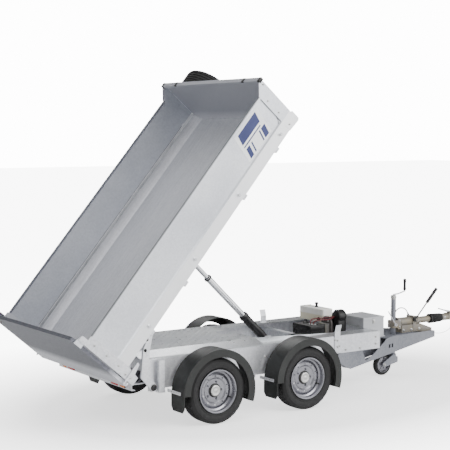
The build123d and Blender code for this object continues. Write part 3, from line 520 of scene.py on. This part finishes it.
# Wheel centres
def wheel_centres():
    """Ribbed grease cap in a dark ring, and a valve, on each rim."""
    for wheel, x, side in WHEELS:
        hub = facing((x, side * (WHEEL_Y + 0.0145), TYRE_R), (0, side, 0))
        cap = Build()
        outline = [(0.0425, 0.004), (0.0435, 0.006), (0.0435, 0.018), (0.0425, 0.024), (0.039, 0.0262),
                   (0.030, 0.0266), (0.028, 0.0255), (0.012, 0.0255), (0.010, 0.0268), (0.0005, 0.0268)]
        cap.lathe(outline, hub, 56)
        for k in range(24):
            turn = Matrix.Rotation(2 * math.pi * k / 24, 4, "Z")
            cap.block((0.0425, -0.0015, 0.007), (0.0448, 0.0015, 0.020), 0.0006, hub @ turn)
        cap.piece(f"grease_cap_{wheel}", ZINC, f"wheel_{wheel}", 35.0)
        ring = Build()
        ring.lathe([(0.0455, 0.004), (0.0535, 0.0045), (0.0555, 0.0068), (0.0555, 0.0085),
                    (0.047, 0.0100), (0.0455, 0.009)], hub, 56, closed=True)
        ring.piece(f"hub_ring_{wheel}", BLACK, f"wheel_{wheel}", 35.0)
        stem = Build()
        valve = facing((x + 0.126, side * (WHEEL_Y + 0.020), TYRE_R - 0.060), (0.25, side, -0.12))
        stem.lathe([(0.0005, 0.034), (0.0032, 0.033), (0.0042, 0.028), (0.0042, 0.012),
                    (0.0060, 0.004), (0.0065, 0.0), (0.0005, 0.0)], valve, 20)
        stem.piece(f"tyre_valve_{wheel}", BLACK, f"wheel_{wheel}")


wheel_centres()


# Tread deck
def tread_lugs():
    """Raised bars of the deck plate, in pairs that turn at right angles from one cell to the next."""
    low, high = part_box("tread_deck")
    build = Build()
    pitch = 0.036
    rows = int(0.70 / pitch)
    columns = int(1.165 / pitch)
    slot_x = REAR_AXLE_X + 0.492
    slot_half = 0.095
    bar = [(-0.0125, 0), (-0.008, -0.0026), (0.008, -0.0026), (0.0125, 0), (0.008, 0.0026), (-0.008, 0.0026)]
    for i in range(columns):
        for j in range(rows):
            x = low.x + 0.020 + i * pitch
            y = -0.335 + j * pitch
            if x > slot_x and abs(y) < slot_half:
                continue
            turn = math.radians(45 if (i + j) % 2 else -45)
            place = Matrix.Translation((x, y, high.z - 0.0004)) @ Matrix.Rotation(turn, 4, "Z")
            build.prism(bar, 0.0, 0.0022, 0.0006, place)
    build.piece("deck_tread_lugs", TREAD, "root")


tread_lugs()


# Soft and ribbed pieces
def shaft_boot():
    """Pleated rubber boot between the housing nose and the coupling shank."""
    low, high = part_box("shaft_bellows")
    middle = (low.z + high.z) / 2
    ribs = 9
    length = high.x - low.x
    outline = [(0.0345, 0.0), (0.046, 0.0), (0.046, 0.010)]
    start = 0.012
    pitch = (length - 2 * start) / ribs
    for k in range(ribs):
        crest = 0.0462 - 0.0005 * k
        x = start + k * pitch
        outline += [(0.0375, x), (0.039, x + 0.12 * pitch), (crest - 0.001, x + 0.40 * pitch),
                    (crest, x + 0.5 * pitch), (crest - 0.001, x + 0.60 * pitch), (0.039, x + 0.88 * pitch)]
    outline += [(0.0375, length - start), (0.0405, length - 0.010), (0.0405, length), (0.0345, length)]
    inside = [(r - 0.0028, x) for r, x in reversed(outline[3:-3])]
    build = Build()
    build.lathe(outline + inside, facing((low.x, 0, middle), (1, 0, 0)), 72, closed=True)
    boot = build.piece("pleated_boot", BOOT, "root", 60.0, ["shaft_bellows"])
    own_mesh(boot)


def ribbed_grip(name, start, end, radius, body, ribs):
    """Ribbed rubber grip with a rolled end."""
    start, end = Vector(start), Vector(end)
    length = (end - start).length
    outline = [(0.4 * radius, 0.0), (0.92 * radius, 0.0), (radius, 0.003), (radius, 0.008)]
    usable = length - 0.026
    for k in range(ribs):
        z = 0.010 + usable * k / ribs
        step = usable / ribs
        outline += [(0.86 * radius, z + 0.15 * step), (0.86 * radius, z + 0.45 * step),
                    (0.97 * radius, z + 0.6 * step), (0.97 * radius, z + 0.9 * step)]
    outline += [(0.90 * radius, length - 0.012), (0.78 * radius, length - 0.004), (0.45 * radius, length),
                (0.0005, length)]
    build = Build()
    build.lathe(outline, facing(start, end - start), 40)
    build.piece(name, BOOT, body)


def brake_handle_grip():
    """Grip over the outer end of the brake lever."""
    pivot = Vector((1.680, -0.056, 0.500))
    tip = Vector((1.950, -0.056, 0.774))
    along = (tip - pivot).normalized()
    start, end = tip - 0.175 * along, tip + 0.002 * along
    ribbed_grip("handbrake_grip", start, end, 0.0162, "handbrake", 14)


shaft_boot()
brake_handle_grip()


# Fasteners
def chassis_fasteners():
    """Bolts on the outside of the chassis rails."""
    build = Build()
    for side in (-1, 1):
        face = side * (RAIL_Y + 0.0002)
        for x, z in ((-1.10, 0.455), (-0.98, 0.455), (-0.44, 0.440), (-0.31, 0.440), (-0.12, 0.400),
                     (-0.02, 0.400), (0.08, 0.34), (0.30, 0.505), (0.345, 0.450), (0.76, 0.430),
                     (0.76, 0.490), (0.42, 0.41), (0.58, 0.41)):
            hex_bolt(build, (x, face, z), (0, side, 0), 0.010)
        for z in (0.445, 0.500):
            hex_bolt(build, (0.325, side * 0.5362, z), (0, side, 0), 0.009)
    build.piece("chassis_bolts", ZINC, "root")


def coupling_fasteners():
    """Bolts through the nose plates, the jockey clamp and the coupling head."""
    build = Build()
    for side in (-1, 1):
        for x, z in ((1.540, 0.405), (1.640, 0.405), (1.740, 0.405)):
            hex_bolt(build, (x, side * 0.0442, z), (0, side, 0), 0.012)
        for z in (0.440, 0.500):
            hex_bolt(build, (1.4975, side * 0.0382, z), (0, side, 0), 0.008)
    build.piece("coupling_bolts", ZINC, "root")
    head = Build()
    for side in (-1, 1):
        for x in (2.090, 2.185):
            hex_bolt(head, (x, side * 0.0342, 0.482), (0, side, 0), 0.011)
    head.piece("coupling_head_bolts", ZINC, "draw_shaft")


chassis_fasteners()
coupling_fasteners()


# Tipping body details
def wall_bar(build, outline, side, proud):
    """Flat bar with the given (u, v) outline on the outside of a side wall."""
    turn = BODY @ Matrix.Translation((0, side * WALL_Y, 0)) @ Matrix.Rotation(math.radians(90), 4, "X")
    low, high = sorted((0.0, -side * proud))
    build.prism(outline, low, high, 0.0, turn)


def slanted(start, length, low, high, lean):
    """Outline of a bar from v = low to v = high whose ends lean forward."""
    return [(start, low), (start + length, low), (start + length + lean, high), (start + lean, high)]


def side_stripes():
    """Plain blue and white stripes near the front of the right-hand wall, with slanting ends."""
    white = Build()
    wall_bar(white, slanted(1.945, 0.325, 0.252, 0.490, 0.045), -1, 0.0005)
    white.piece("stripe_ground", WHITE_FILM, "tipping_body")
    blue = Build()
    bars = ((2.000, 0.250, 0.390, 0.475), (1.975, 0.045, 0.262, 0.345), (2.045, 0.014, 0.262, 0.345),
            (2.190, 0.052, 0.262, 0.345), (2.160, 0.014, 0.262, 0.345), (1.995, 0.235, 0.362, 0.372))
    for start, length, low, high in bars:
        wall_bar(blue, slanted(start, length, low, high, 0.30 * (high - low)), -1, 0.0009)
    blue.piece("blue_stripes", BLUE_FILM, "tipping_body")


def step_shadow_strips():
    """Painted shadow: dark strips standing for the shade under the step above the skirt, with a rounded front
    end.
    """
    build = Build()
    rear, front = 0.169, 2.330
    low, high = 0.2315, 0.2365
    centre_v = 0.2840
    outer_r, inner_r = centre_v - low, centre_v - high
    proud = 0.0012
    steps = 10
    for side in (-1, 1):
        wall_bar(build, [(rear, low), (front, low), (front, high), (rear, high)], side, proud)
        for k in range(steps):
            first, last = (math.radians(-90 + 90 * (k + n) / steps) for n in (0, 1))
            points = [(front + r * math.cos(t), centre_v + r * math.sin(t))
                      for r, t in ((outer_r, first), (outer_r, last), (inner_r, last), (inner_r, first))]
            wall_bar(build, points, side, proud)
    build.piece("skirt_step_shadows", STEP_SHADOW, "tipping_body")


def body_fasteners():
    """Bolts on the rear posts, the headboard wings and the foot of the headboard."""
    build = Build()
    for side in (-1, 1):
        out = body_direction(0, side, 0)
        for u, v in ((0.030, 0.060), (0.030, 0.110), (0.045, 0.200), (0.045, 0.330), (0.045, 0.460),
                     (2.42, 0.16), (2.42, 0.30), (2.42, 0.44), (2.485, 0.56)):
            hex_bolt(build, in_body(u, side * (BODY_HALF + 0.0002), v), out, 0.008)
    for y in (-0.68, -0.34, 0.0, 0.34, 0.68):
        hex_bolt(build, in_body(2.5042, y, 0.15), body_direction(1, 0, 0), 0.008)
    build.piece("body_bolts", ZINC, "tipping_body")


def wall_lugs():
    """Four round rope lugs on each skirt."""
    build = Build()
    for side in (-1, 1):
        for u in (0.42, 1.05, 1.68, 2.30):
            place = facing(in_body(u, side * (BODY_HALF - 0.0005), 0.176), body_direction(0, side, 0))
            build.lathe([(0.001, 0), (0.016, 0), (0.015, 0.003), (0.009, 0.006), (0.008, 0.012),
                         (0.012, 0.015), (0.012, 0.018), (0.010, 0.020), (0.001, 0.020)], place, 28)
    build.piece("rope_lugs", STEEL, "tipping_body")


def arm_bolts():
    """Four dark bolts on each hinge arm."""
    build = Build()
    for side in (-1, 1):
        for u, v in ((0.300, -0.012), (0.372, 0.030), (0.372, 0.060), (0.408, 0.060)):
            hex_bolt(build, in_body(u, side * ARM_FACE_Y, v), body_direction(0, side, 0), 0.012)
    build.piece("hinge_arm_bolts", BLACK, "tipping_body")


def headboard_caps():
    """Black end caps of the headboard rail and two black clips along it."""
    caps = Build()
    for side in (-1, 1):
        low, high = sorted((side * 0.700, side * 0.729))
        caps.block((2.4715, low, 0.5855), (2.5145, high, 0.6145), 0.003, BODY)
    for y in (-0.50, 0.50):
        caps.block((2.4725, y - 0.016, 0.600), (2.5135, y + 0.016, 0.6148), 0.002, BODY)
    caps.piece("headboard_rail_caps", BLACK, "tipping_body")


side_stripes()
step_shadow_strips()
body_fasteners()
wall_lugs()
arm_bolts()
headboard_caps()


# Rear lamps and markers
LAMP_IN = 0.302
LAMP_OUT = 0.512


def rear_lamps():
    """Combination lamps: black base, red, white and amber fields with a rib across, and two screws."""
    low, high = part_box("tail_lamps")
    face = low.x
    middle = (low.z + high.z) / 2
    bases = Build()
    for side in (-1, 1):
        inner, outer = sorted((side * LAMP_IN, side * LAMP_OUT))
        bases.block((face + 0.006, inner, low.z), (high.x, outer, high.z), 0.003)
    bases.piece("lamp_bases", BLACK, "root", replaces=["tail_lamps"])
    fields = (("red_fields", RED, LAMP_IN + 0.002, 0.420), ("white_fields", CLEAR, 0.4215, 0.440),
              ("amber_fields", AMBER, 0.4415, LAMP_OUT - 0.002))
    for name, material, y_in, y_out in fields:
        build = Build()
        for side in (-1, 1):
            inner, outer = sorted((side * y_in, side * y_out))
            build.block((face, inner, low.z + 0.002), (face + 0.008, outer, high.z - 0.002), 0.0025)
            build.block((face - 0.0008, inner + 0.004, low.z + 0.025),
                        (face + 0.002, outer - 0.004, low.z + 0.0285), 0.0006)
        build.piece(name, material, "root")
    screws = Build()
    for side in (-1, 1):
        for y in (LAMP_IN + 0.008, LAMP_OUT - 0.008):
            place = facing((face + 0.0004, side * y, middle), (-1, 0, 0))
            screws.lathe([(0.0004, 0.0012), (0.0014, 0.0012), (0.0016, 0.0024), (0.0030, 0.0022),
                          (0.0036, 0.0010), (0.0036, 0.0), (0.0004, 0.0)], place, 20)
    screws.piece("lamp_screws", ZINC, "root")


def front_reflectors():
    """White reflectors on the front panel."""
    front = Build()
    for side in (-1, 1):
        place = facing((0.8102, side * 0.470, 0.470), (1, 0, 0))
        front.lathe([(0.0005, 0.006), (0.024, 0.006), (0.027, 0.004), (0.028, 0.0), (0.0005, 0.0)], place, 40)
    front.piece("front_reflectors", CLEAR, "root")


rear_lamps()
front_reflectors()


# Ram, hinge and power pack details
RAM_FOOT = Vector((-0.053, 0, 0.4788))
RAM_LINE = Vector((-0.72325, 0, 0.69059))


def ram_point(along):
    """Point on the ram's centre line, in metres from its foot."""
    return RAM_FOOT + RAM_LINE * along


def ram_details():
    """Gland nuts with raised spanner flats at the top of each stage, and wiper seals inside them."""
    glands = (("barrel_gland", "ram_barrel", 0.326, 0.0415, 0.0275, -0.034),
              ("outer_stage_gland", "ram_outer", 0.834, 0.0335, 0.0205, -0.019))
    for name, body, top, radius, inner, foot in glands:
        build = Build()
        outline = [(inner + 0.002, foot), (radius - 0.001, foot), (radius, foot + 0.002), (radius, foot / 2),
                   (radius - 0.0015, foot / 2 + 0.001), (radius - 0.0015, -0.004),
                   (radius - 0.004, 0.0004), (inner + 0.002, 0.0004)]
        place = facing(ram_point(top), RAM_LINE)
        build.lathe(outline, place, 56, closed=True)
        for k in range(6):
            turn = Matrix.Rotation(math.radians(60 * k), 4, "Z")
            build.block((radius - 0.0012, -0.005, foot + 0.003), (radius + 0.0012, 0.005, foot / 2 - 0.001),
                        0.0008, place @ turn)
        build.piece(name, RAM_PAINT, body, 35.0)
        wiper = Build()
        wiper.lathe([(inner, -0.004), (inner + 0.003, -0.004), (inner + 0.0045, 0.0003),
                     (inner + 0.001, 0.0006), (inner, 0.0004)], place, 56, closed=True)
        wiper.piece(name.replace("gland", "wiper"), BOOT, body, 50.0)


def hinge_caps():
    """Domed caps on the ends of the tip hinge pins, and thrust washers behind the arms."""
    caps = Build()
    washers = Build()
    x, z = TIP_PIN
    for side in (-1, 1):
        end = facing((x, side * (ARM_FACE_Y + 0.003), z), (0, side, 0))
        caps.lathe([(0.0005, 0.009), (0.016, 0.008), (0.023, 0.005), (0.026, 0.0), (0.0005, 0.0)], end, 48)
        rail = facing((x, side * (RAIL_Y + 0.0002), z), (0, side, 0))
        washers.lathe([(0.0145, 0.0), (0.034, 0.0), (0.036, 0.0015), (0.036, 0.005), (0.034, 0.0062),
                       (0.0145, 0.0062)], rail, 48, closed=True)
    caps.piece("hinge_pin_caps", BLACK, "root")
    washers.piece("hinge_thrust_washers", ZINC, "root")


BATTERY_TOP = 0.568
TERMINAL_X = 0.380
TERMINAL_Y = (-0.132, -0.092)


def battery_details():
    """Lid with vent plugs and a rope handle, ribs on the case and clamps on the posts."""
    low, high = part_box("battery_box")
    build = Build()
    lid = 0.003
    build.block((low.x - lid, low.y - lid, BATTERY_TOP - 0.045),
                (high.x + lid, high.y + lid, BATTERY_TOP + 0.002), 0.004)
    for k in range(6):
        place = facing((high.x - 0.045, low.y + 0.050 + 0.031 * k, BATTERY_TOP + 0.002), (0, 0, 1))
        build.lathe([(0.0005, 0.004), (0.0085, 0.004), (0.010, 0.0028), (0.010, 0.0), (0.0005, 0.0)],
                    place, 24)
    for k in range(8):
        y = low.y + 0.014 + 0.031 * k
        build.block((low.x - 0.0022, y, 0.425), (low.x + 0.001, y + 0.006, BATTERY_TOP - 0.050), 0.0009)
    build.piece("battery_lid_and_ribs", BLACK, "root")
    clamps = Build()
    for y in TERMINAL_Y:
        place = facing((TERMINAL_X, y, BATTERY_TOP + 0.0025), (0, 0, 1))
        clamps.lathe([(0.0093, 0), (0.0135, 0), (0.014, 0.002), (0.014, 0.009), (0.0125, 0.010),
                      (0.0093, 0.010)], place, 36, closed=True)
        clamps.block((TERMINAL_X + 0.012, y - 0.006, BATTERY_TOP + 0.003),
                     (TERMINAL_X + 0.028, y + 0.006, BATTERY_TOP + 0.012), 0.0015)
        hex_bolt(clamps, (TERMINAL_X + 0.022, y - 0.0062, BATTERY_TOP + 0.0075), (0, -1, 0), 0.005)
    clamps.piece("battery_clamps", ZINC, "root")
    handle = [(low.x + 0.045, 0.0, BATTERY_TOP), (low.x + 0.046, 0.004, BATTERY_TOP + 0.020),
              (low.x + 0.062, 0.012, BATTERY_TOP + 0.034), (low.x + 0.082, 0.018, BATTERY_TOP + 0.034),
              (low.x + 0.098, 0.022, BATTERY_TOP + 0.020), (low.x + 0.100, 0.024, BATTERY_TOP)]
    curve_piece("battery_handle", handle, 0.0042, BOOT, "root")


MOTOR_FACE_X = 0.600
MOTOR_Y = -0.040
MOTOR_Z = 0.548
HOOD_Y = -0.135
HOOD_Z = 0.630


def motor_details():
    """Pump flange, black motor behind it and the round relay hood beside it."""
    place = facing((MOTOR_FACE_X, MOTOR_Y, MOTOR_Z), (1, 0, 0))
    flange = Build()
    flange.lathe([(0.0005, 0.0), (0.060, 0.0), (0.0725, 0.004), (0.0760, 0.010), (0.0760, 0.018),
                  (0.0735, 0.024), (0.062, 0.028), (0.0005, 0.028)], place, 80)
    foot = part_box("pump_motor")[0].z
    flange.block((0.6005, -0.115, foot), (0.627, 0.035, 0.545), 0.006)
    flange.piece("pump_flange", MOTOR_PAINT, "root", 35.0)
    black = Build()
    black.lathe([(0.0005, 0.027), (0.0580, 0.027), (0.0592, 0.031), (0.0592, 0.062), (0.0575, 0.068),
                 (0.050, 0.072), (0.0005, 0.072)], place, 72)
    black.block((0.628, -0.080, foot), (0.660, 0.020, 0.500), 0.003)
    hood = facing((0.632, HOOD_Y, HOOD_Z), (1, 0, 0))
    black.lathe([(0.0005, 0.0), (0.044, 0.0), (0.054, 0.004), (0.0580, 0.012), (0.0590, 0.044),
                 (0.0580, 0.076), (0.054, 0.084), (0.044, 0.088), (0.0005, 0.088)], hood, 80)
    for x in (0.650, 0.698):
        black.lathe([(0.0570, -0.003), (0.0602, -0.002), (0.0602, 0.002), (0.0570, 0.003)],
                    facing((x, HOOD_Y, HOOD_Z), (1, 0, 0)), 80, closed=True)
    black.block((0.6325, -0.180, foot), (0.7195, -0.108, 0.628), 0.005)
    black.piece("motor_and_relay_hood", BLACK, "root", 35.0, ["pump_motor"])
    studs = Build()
    for k in range(4):
        angle = math.radians(45 + 90 * k)
        y, z = MOTOR_Y + 0.052 * math.cos(angle), MOTOR_Z + 0.052 * math.sin(angle)
        hex_bolt(studs, (MOTOR_FACE_X - 0.0002, y, z), (-1, 0, 0), 0.007)
    studs.piece("pump_flange_bolts", ZINC, "root")


def tank_details():
    """Mushroom filler cap with finger ribs, the tank's moulded seam and the outlet bush."""
    low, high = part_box("tank_cap")
    centre = ((low.x + high.x) / 2, (low.y + high.y) / 2)
    build = Build()
    outline = [(0.0115, 0.0), (0.0140, 0.0), (0.0140, 0.012), (0.0120, 0.016), (0.0125, 0.022),
               (0.0165, 0.030), (0.0170, 0.034), (0.0160, 0.040), (0.0110, 0.044), (0.0005, 0.0452)]
    build.lathe(outline, facing((*centre, low.z), (0, 0, 1)), 48)
    for k in range(10):
        angle = 2 * math.pi * k / 10
        x, y = centre[0] + 0.0164 * math.cos(angle), centre[1] + 0.0164 * math.sin(angle)
        build.lathe([(0.0003, 0.0), (0.0012, 0.001), (0.0012, 0.007), (0.0003, 0.008)],
                    facing((x, y, low.z + 0.029), (0, 0, 1)), 10)
    build.piece("filler_cap", BLACK, "tank_cap", replaces=["tank_cap"])
    tank_low, tank_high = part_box("oil_tank")
    seam = Build()
    seam_z, proud = 0.600, 0.0012
    seam.block((tank_low.x - proud, tank_low.y - proud, seam_z - 0.0015),
               (tank_high.x + proud, tank_high.y + proud, seam_z + 0.0015), 0.0006)
    seam.piece("tank_seam", TANK, "root")
    bush = Build()
    bush.lathe([(0.0005, 0.018), (0.010, 0.018), (0.012, 0.015), (0.012, 0.004), (0.017, 0.003), (0.017, 0.0),
                (0.0005, 0.0)], facing((tank_low.x, 0.16, 0.565), (-1, 0, 0)), 32)
    bush.piece("tank_outlet", BLACK, "root")


# Jockey, handbrake and box details
def curve_piece(name, points, radius, material, body, replaces=()):
    """Smooth round cord or rod whose control points are given in metres."""
    data = bpy.data.curves.new(name, "CURVE")
    data.dimensions = "3D"
    data.bevel_depth = radius
    data.bevel_resolution = 5
    data.resolution_u = 10
    data.use_fill_caps = True
    spline = data.splines.new("NURBS")
    spline.points.add(len(points) - 1)
    for place, point in zip(spline.points, points):
        place.co = (*point, 1)
    spline.use_endpoint_u = True
    spline.order_u = 3
    data.materials.append(material)
    enlist(name, data, body, replaces)


def chain(name, start, sag, end, links, body):
    """Short chain of welded links that hangs between two points."""
    build = Build()
    wire = 0.0011
    steps, round_steps = 20, 7
    turns = [2 * math.pi * j / round_steps for j in range(round_steps)]
    across = Vector((0, 1, 0))
    start, end, sag = Vector(start), Vector(end), Vector(sag)
    for k in range(links):
        t = (k + 0.5) / links
        point = start * (1 - t) ** 2 + sag * 2 * t * (1 - t) + end * t ** 2
        along = (sag - start) * 2 * (1 - t) + (end - sag) * 2 * t
        place = facing(point, along) @ Matrix.Rotation(math.radians(90 * (k % 2) + 20), 4, "Z")
        bm = bmesh.new()
        rings = []
        for i in range(steps):
            angle = 2 * math.pi * i / steps
            centre = Vector((0.0034 * math.cos(angle), 0, 0.0062 * math.sin(angle)))
            outward = Vector((math.cos(angle), 0, math.sin(angle)))
            rings.append([bm.verts.new(centre + wire * (math.cos(a) * outward + math.sin(a) * across))
                          for a in turns])
        skin(bm, rings)
        build.take(bm, place)
    build.piece(name, ZINC, body, 60.0)


def jockey_details():
    """Head and collar of the jockey tube, turning grip and its end cap, and the pin chain."""
    x = 1.450
    grip_x = x + 0.140
    build = Build()
    build.lathe([(0.0095, 0.018), (0.022, 0.017), (0.0258, 0.013), (0.0265, 0.008), (0.0265, -0.010),
                 (0.0245, -0.012), (0.0245, -0.020), (0.0095, -0.020)],
                facing((x, 0, 0.725), (0, 0, 1)), 56, closed=True)
    build.lathe([(0.0243, -0.006), (0.0275, -0.006), (0.0285, -0.004), (0.0285, 0.004), (0.0275, 0.006),
                 (0.0243, 0.006)], facing((x, 0, 0.340), (0, 0, 1)), 56, closed=True)
    build.piece("jockey_head_and_collar", ZINC, "root", 35.0)
    knob = Build()
    outline = [(0.0064, 0.0), (0.0135, 0.0), (0.0152, 0.003), (0.0142, 0.020), (0.0128, 0.040),
               (0.0130, 0.065), (0.0148, 0.090), (0.0152, 0.098), (0.0135, 0.104), (0.0064, 0.104)]
    knob.lathe(outline, facing((grip_x, 0, 0.780), (0, 0, 1)), 44, closed=True)
    knob.piece("turning_grip", BLACK, "crank_grip", replaces=["crank_grip"])
    top = Build()
    top.lathe([(0.0005, 0.0045), (0.0075, 0.004), (0.010, 0.002), (0.010, 0.0), (0.0005, 0.0)],
              facing((grip_x, 0, 0.885), (0, 0, 1)), 28)
    top.piece("grip_end_cap", ZINC, "jockey_crank")
    hook, sag, pin = (x - 0.026, -0.004, 0.700), (x - 0.060, -0.018, 0.56), (x - 0.037, -0.020, 0.500)
    chain("pin_chain", hook, sag, pin, 15, "root")


JOCKEY_AXLE = (1.312, 0.100)


def both_ways(half):
    """A (radius, height) outline together with its mirror below the middle."""
    return half + [(r, -h) for r, h in reversed(half)]


def jockey_wheel_tyre():
    """Solid rubber tread with moulded ribs on a silver pressed centre with spokes."""
    x, z = JOCKEY_AXLE
    place = Matrix.Translation((x, 0, z)) @ Matrix.Rotation(math.radians(-90), 4, "X")
    tread = Build()
    half = [(0.0705, 0.020), (0.074, 0.0240), (0.086, 0.0238), (0.094, 0.0205), (0.0985, 0.0140),
            (0.0990, 0.0105), (0.0975, 0.0095), (0.0975, 0.0055), (0.1000, 0.0045)]
    tread.lathe(both_ways(half), place, 96, closed=True)
    tread.piece("jockey_tyre", TYRE, "jockey_wheel", 35.0, ["jockey_wheel"])
    centre = Build()
    dish = [(0.0081, 0.026), (0.0150, 0.026), (0.0170, 0.024), (0.0175, 0.010), (0.030, 0.006),
            (0.058, 0.006), (0.0645, 0.014), (0.0690, 0.0235), (0.0720, 0.0235), (0.0720, 0.019)]
    centre.lathe(both_ways(dish), place, 72, closed=True)
    for side in (-1, 1):
        for k in range(6):
            turn = place @ Matrix.Rotation(math.radians(60 * k), 4, "Z")
            low, high = sorted((side * 0.0055, side * 0.0105))
            centre.block((0.018, -0.003, low), (0.062, 0.003, high), 0.0012, turn)
    centre.piece("jockey_wheel_centre", WHEEL_PAINT, "jockey_wheel", 35.0)
    nuts = Build()
    for side in (-1, 1):
        hex_bolt(nuts, (x, side * 0.0372, z), (0, side, 0), 0.012)
    nuts.piece("jockey_axle_nuts", ZINC, "jockey_fork")


def box_details():
    """Toggle catch and rivets on the steel box."""
    build = Build()
    front = -0.3042
    x = 0.940
    build.block((x - 0.016, front + 0.0002, 0.560), (x + 0.016, front + 0.0045, 0.598), 0.001)
    build.block((x - 0.011, front - 0.007, 0.566), (x + 0.011, front - 0.002, 0.592), 0.0015)
    rivet = [(0.0005, 0.002), (0.003, 0.0017), (0.0045, 0.0), (0.0005, 0.0)]
    for corner_x in (0.828, 1.052):
        for z in (0.460, 0.590):
            build.lathe(rivet, facing((corner_x, -0.3002, z), (0, -1, 0)), 20)
    for y in (-0.285, -0.015):
        for z in (0.460, 0.590):
            for face_x, way in ((0.8198, -1), (1.0602, 1)):
                build.lathe(rivet, facing((face_x, y, z), (way, 0, 0)), 20)
    build.piece("box_catch_and_rivets", ZINC, "root")


CABLE = [(1.498, 0.030, 0.5195), (1.498, 0.031, 0.556), (1.516, 0.033, 0.588), (1.550, 0.035, 0.606),
         (1.592, 0.036, 0.608), (1.632, 0.037, 0.594), (1.662, 0.038, 0.566), (1.674, 0.038, 0.5295)]


def gland(build, point, direction, radius):
    """Screwed cable gland with a tapering rubber sleeve."""
    outline = [(1.0, 0.0), (2.1, 0.0), (2.1, 0.006), (1.7, 0.008), (1.6, 0.016), (1.15, 0.022), (1.0, 0.022)]
    build.lathe([(r * radius, h) for r, h in outline], facing(point, direction), 28, closed=True)


def cables():
    """Trailer cable with a gland at each end."""
    curve_piece("trailer_cable_loop", CABLE, 0.005, BOOT, "root", ["trailer_cable"])
    glands = Build()
    gland(glands, CABLE[0], (0, 0, 1), 0.0052)
    gland(glands, (1.674, 0.038, 0.530), (-0.15, 0, 1), 0.0052)
    glands.piece("cable_glands", BLACK, "root")


ram_details()
hinge_caps()
battery_details()
motor_details()
tank_details()
jockey_details()
jockey_wheel_tyre()
box_details()
cables()


# Camera, light and floor
def studio_floor():
    """Pale studio floor with a glow of painted light: seen by the camera it glows more with distance from the
    trailer, so it stays darker round the trailer; other rays see only a faint glow.
    """
    bm = bmesh.new()
    bmesh.ops.create_grid(bm, x_segments=1, y_segments=1, size=60)
    mesh = bpy.data.meshes.new("floor")
    bm.to_mesh(mesh)
    bm.free()
    floor = bpy.data.objects.new("floor", mesh)
    bpy.context.scene.collection.objects.link(floor)
    paper = Shader("floor_paper", (0.90, 0.90, 0.90), 0.0, 0.9)
    paper.colour(paper.ramp(paper.noise(0.6, 2.0), (0.89, 0.89, 0.89), (0.91, 0.91, 0.91)))
    seen = paper.tree.nodes.new("ShaderNodeLightPath").outputs["Is Camera Ray"]
    paper.shader.inputs["Emission Color"].default_value = (1, 1, 1, 1)
    # Painted light: the glow the camera sees grows with distance from the trailer, which leaves the floor
    # darker round it.
    spot = paper.node("VectorMath", Vector=paper.stretched((0.62, 1.0, 1.0)))
    spot.operation = "LENGTH"
    far = paper.span(spot.outputs["Value"], 1.25, 8.0, 1.3, 3.4)
    seen_far = paper.node("Math", Value=far)
    seen_far.operation = "MULTIPLY"
    paper.tree.links.new(seen, seen_far.inputs[1])
    glow = paper.node("Math", Value=seen_far.outputs["Value"])
    glow.inputs[1].default_value = 0.08
    paper.tree.links.new(glow.outputs["Value"], paper.shader.inputs["Emission Strength"])
    mesh.materials.append(paper.material)


SEEN_WHITE = 14.0


def studio_world():
    """White where the camera sees it; for lighting, a dim surround with soft bright areas."""
    world = bpy.data.worlds.new("studio")
    bpy.context.scene.world = world
    world.use_nodes = True
    tree = world.node_tree
    background = tree.nodes["Background"]
    way = tree.nodes.new("ShaderNodeTexCoord").outputs["Generated"]

    def math_node(kind, *values):
        made = tree.nodes.new("ShaderNodeMath")
        made.operation = kind
        for socket, value in zip(made.inputs, values):
            join(tree, socket, value)
        return made.outputs["Value"]

    def lobe(direction, start, end, strength):
        """A wide soft panel of light in one direction."""
        dot = tree.nodes.new("ShaderNodeVectorMath")
        dot.operation = "DOT_PRODUCT"
        tree.links.new(way, dot.inputs[0])
        dot.inputs[1].default_value = Vector(direction).normalized()
        span = tree.nodes.new("ShaderNodeMapRange")
        span.interpolation_type = "SMOOTHSTEP"
        tree.links.new(dot.outputs["Value"], span.inputs["Value"])
        span.inputs["From Min"].default_value = start
        span.inputs["From Max"].default_value = end
        span.inputs["To Max"].default_value = strength
        return span.outputs["Result"]

    light = math_node("ADD", 0.16, lobe((0.567, -0.824, 0.12), 0.62, 0.97, 2.9))
    light = math_node("ADD", light, lobe((-0.2, 0.1, 1.0), 0.55, 0.95, 1.1))
    light = math_node("ADD", light, lobe((-0.75, -0.60, 0.35), 0.75, 0.98, 0.5))
    seen = tree.nodes.new("ShaderNodeLightPath").outputs["Is Camera Ray"]
    strength = math_node("MAXIMUM", light, math_node("MULTIPLY", seen, SEEN_WHITE))
    background.inputs["Color"].default_value = (1.0, 1.0, 1.0, 1)
    tree.links.new(strength, background.inputs["Strength"])


def soft_light(name, place, target, size, power):
    """Rectangular area light that points at a target."""
    data = bpy.data.lights.new(name, "AREA")
    data.shape = "RECTANGLE"
    data.size = size
    data.size_y = 0.7 * size
    data.energy = power
    light = bpy.data.objects.new(name, data)
    light.location = place
    light.rotation_euler = (Vector(target) - Vector(place)).to_track_quat("-Z", "Y").to_euler()
    bpy.context.scene.collection.objects.link(light)


def camera():
    """The camera of the main view."""
    data = bpy.data.cameras.new("view")
    data.lens = 97.38
    data.sensor_width = 36
    data.clip_end = 100
    obj = bpy.data.objects.new("view", data)
    obj.location = (-6.290, -8.458, 2.287)
    obj.rotation_euler = (math.radians(90 - 4.45), 0, math.radians(-34.52))
    bpy.context.scene.collection.objects.link(obj)
    bpy.context.scene.camera = obj


studio_floor()
studio_world()
soft_light("key", (1.5, -6.5, 5.5), (0, 0, 0.8), 5.0, 330)
soft_light("fill", (-5.0, -2.0, 5.0), (0, 0, 0.8), 4.0, 90)
soft_light("rim", (2.0, 5.5, 5.5), (0, 0, 1.0), 4.0, 160)
camera()
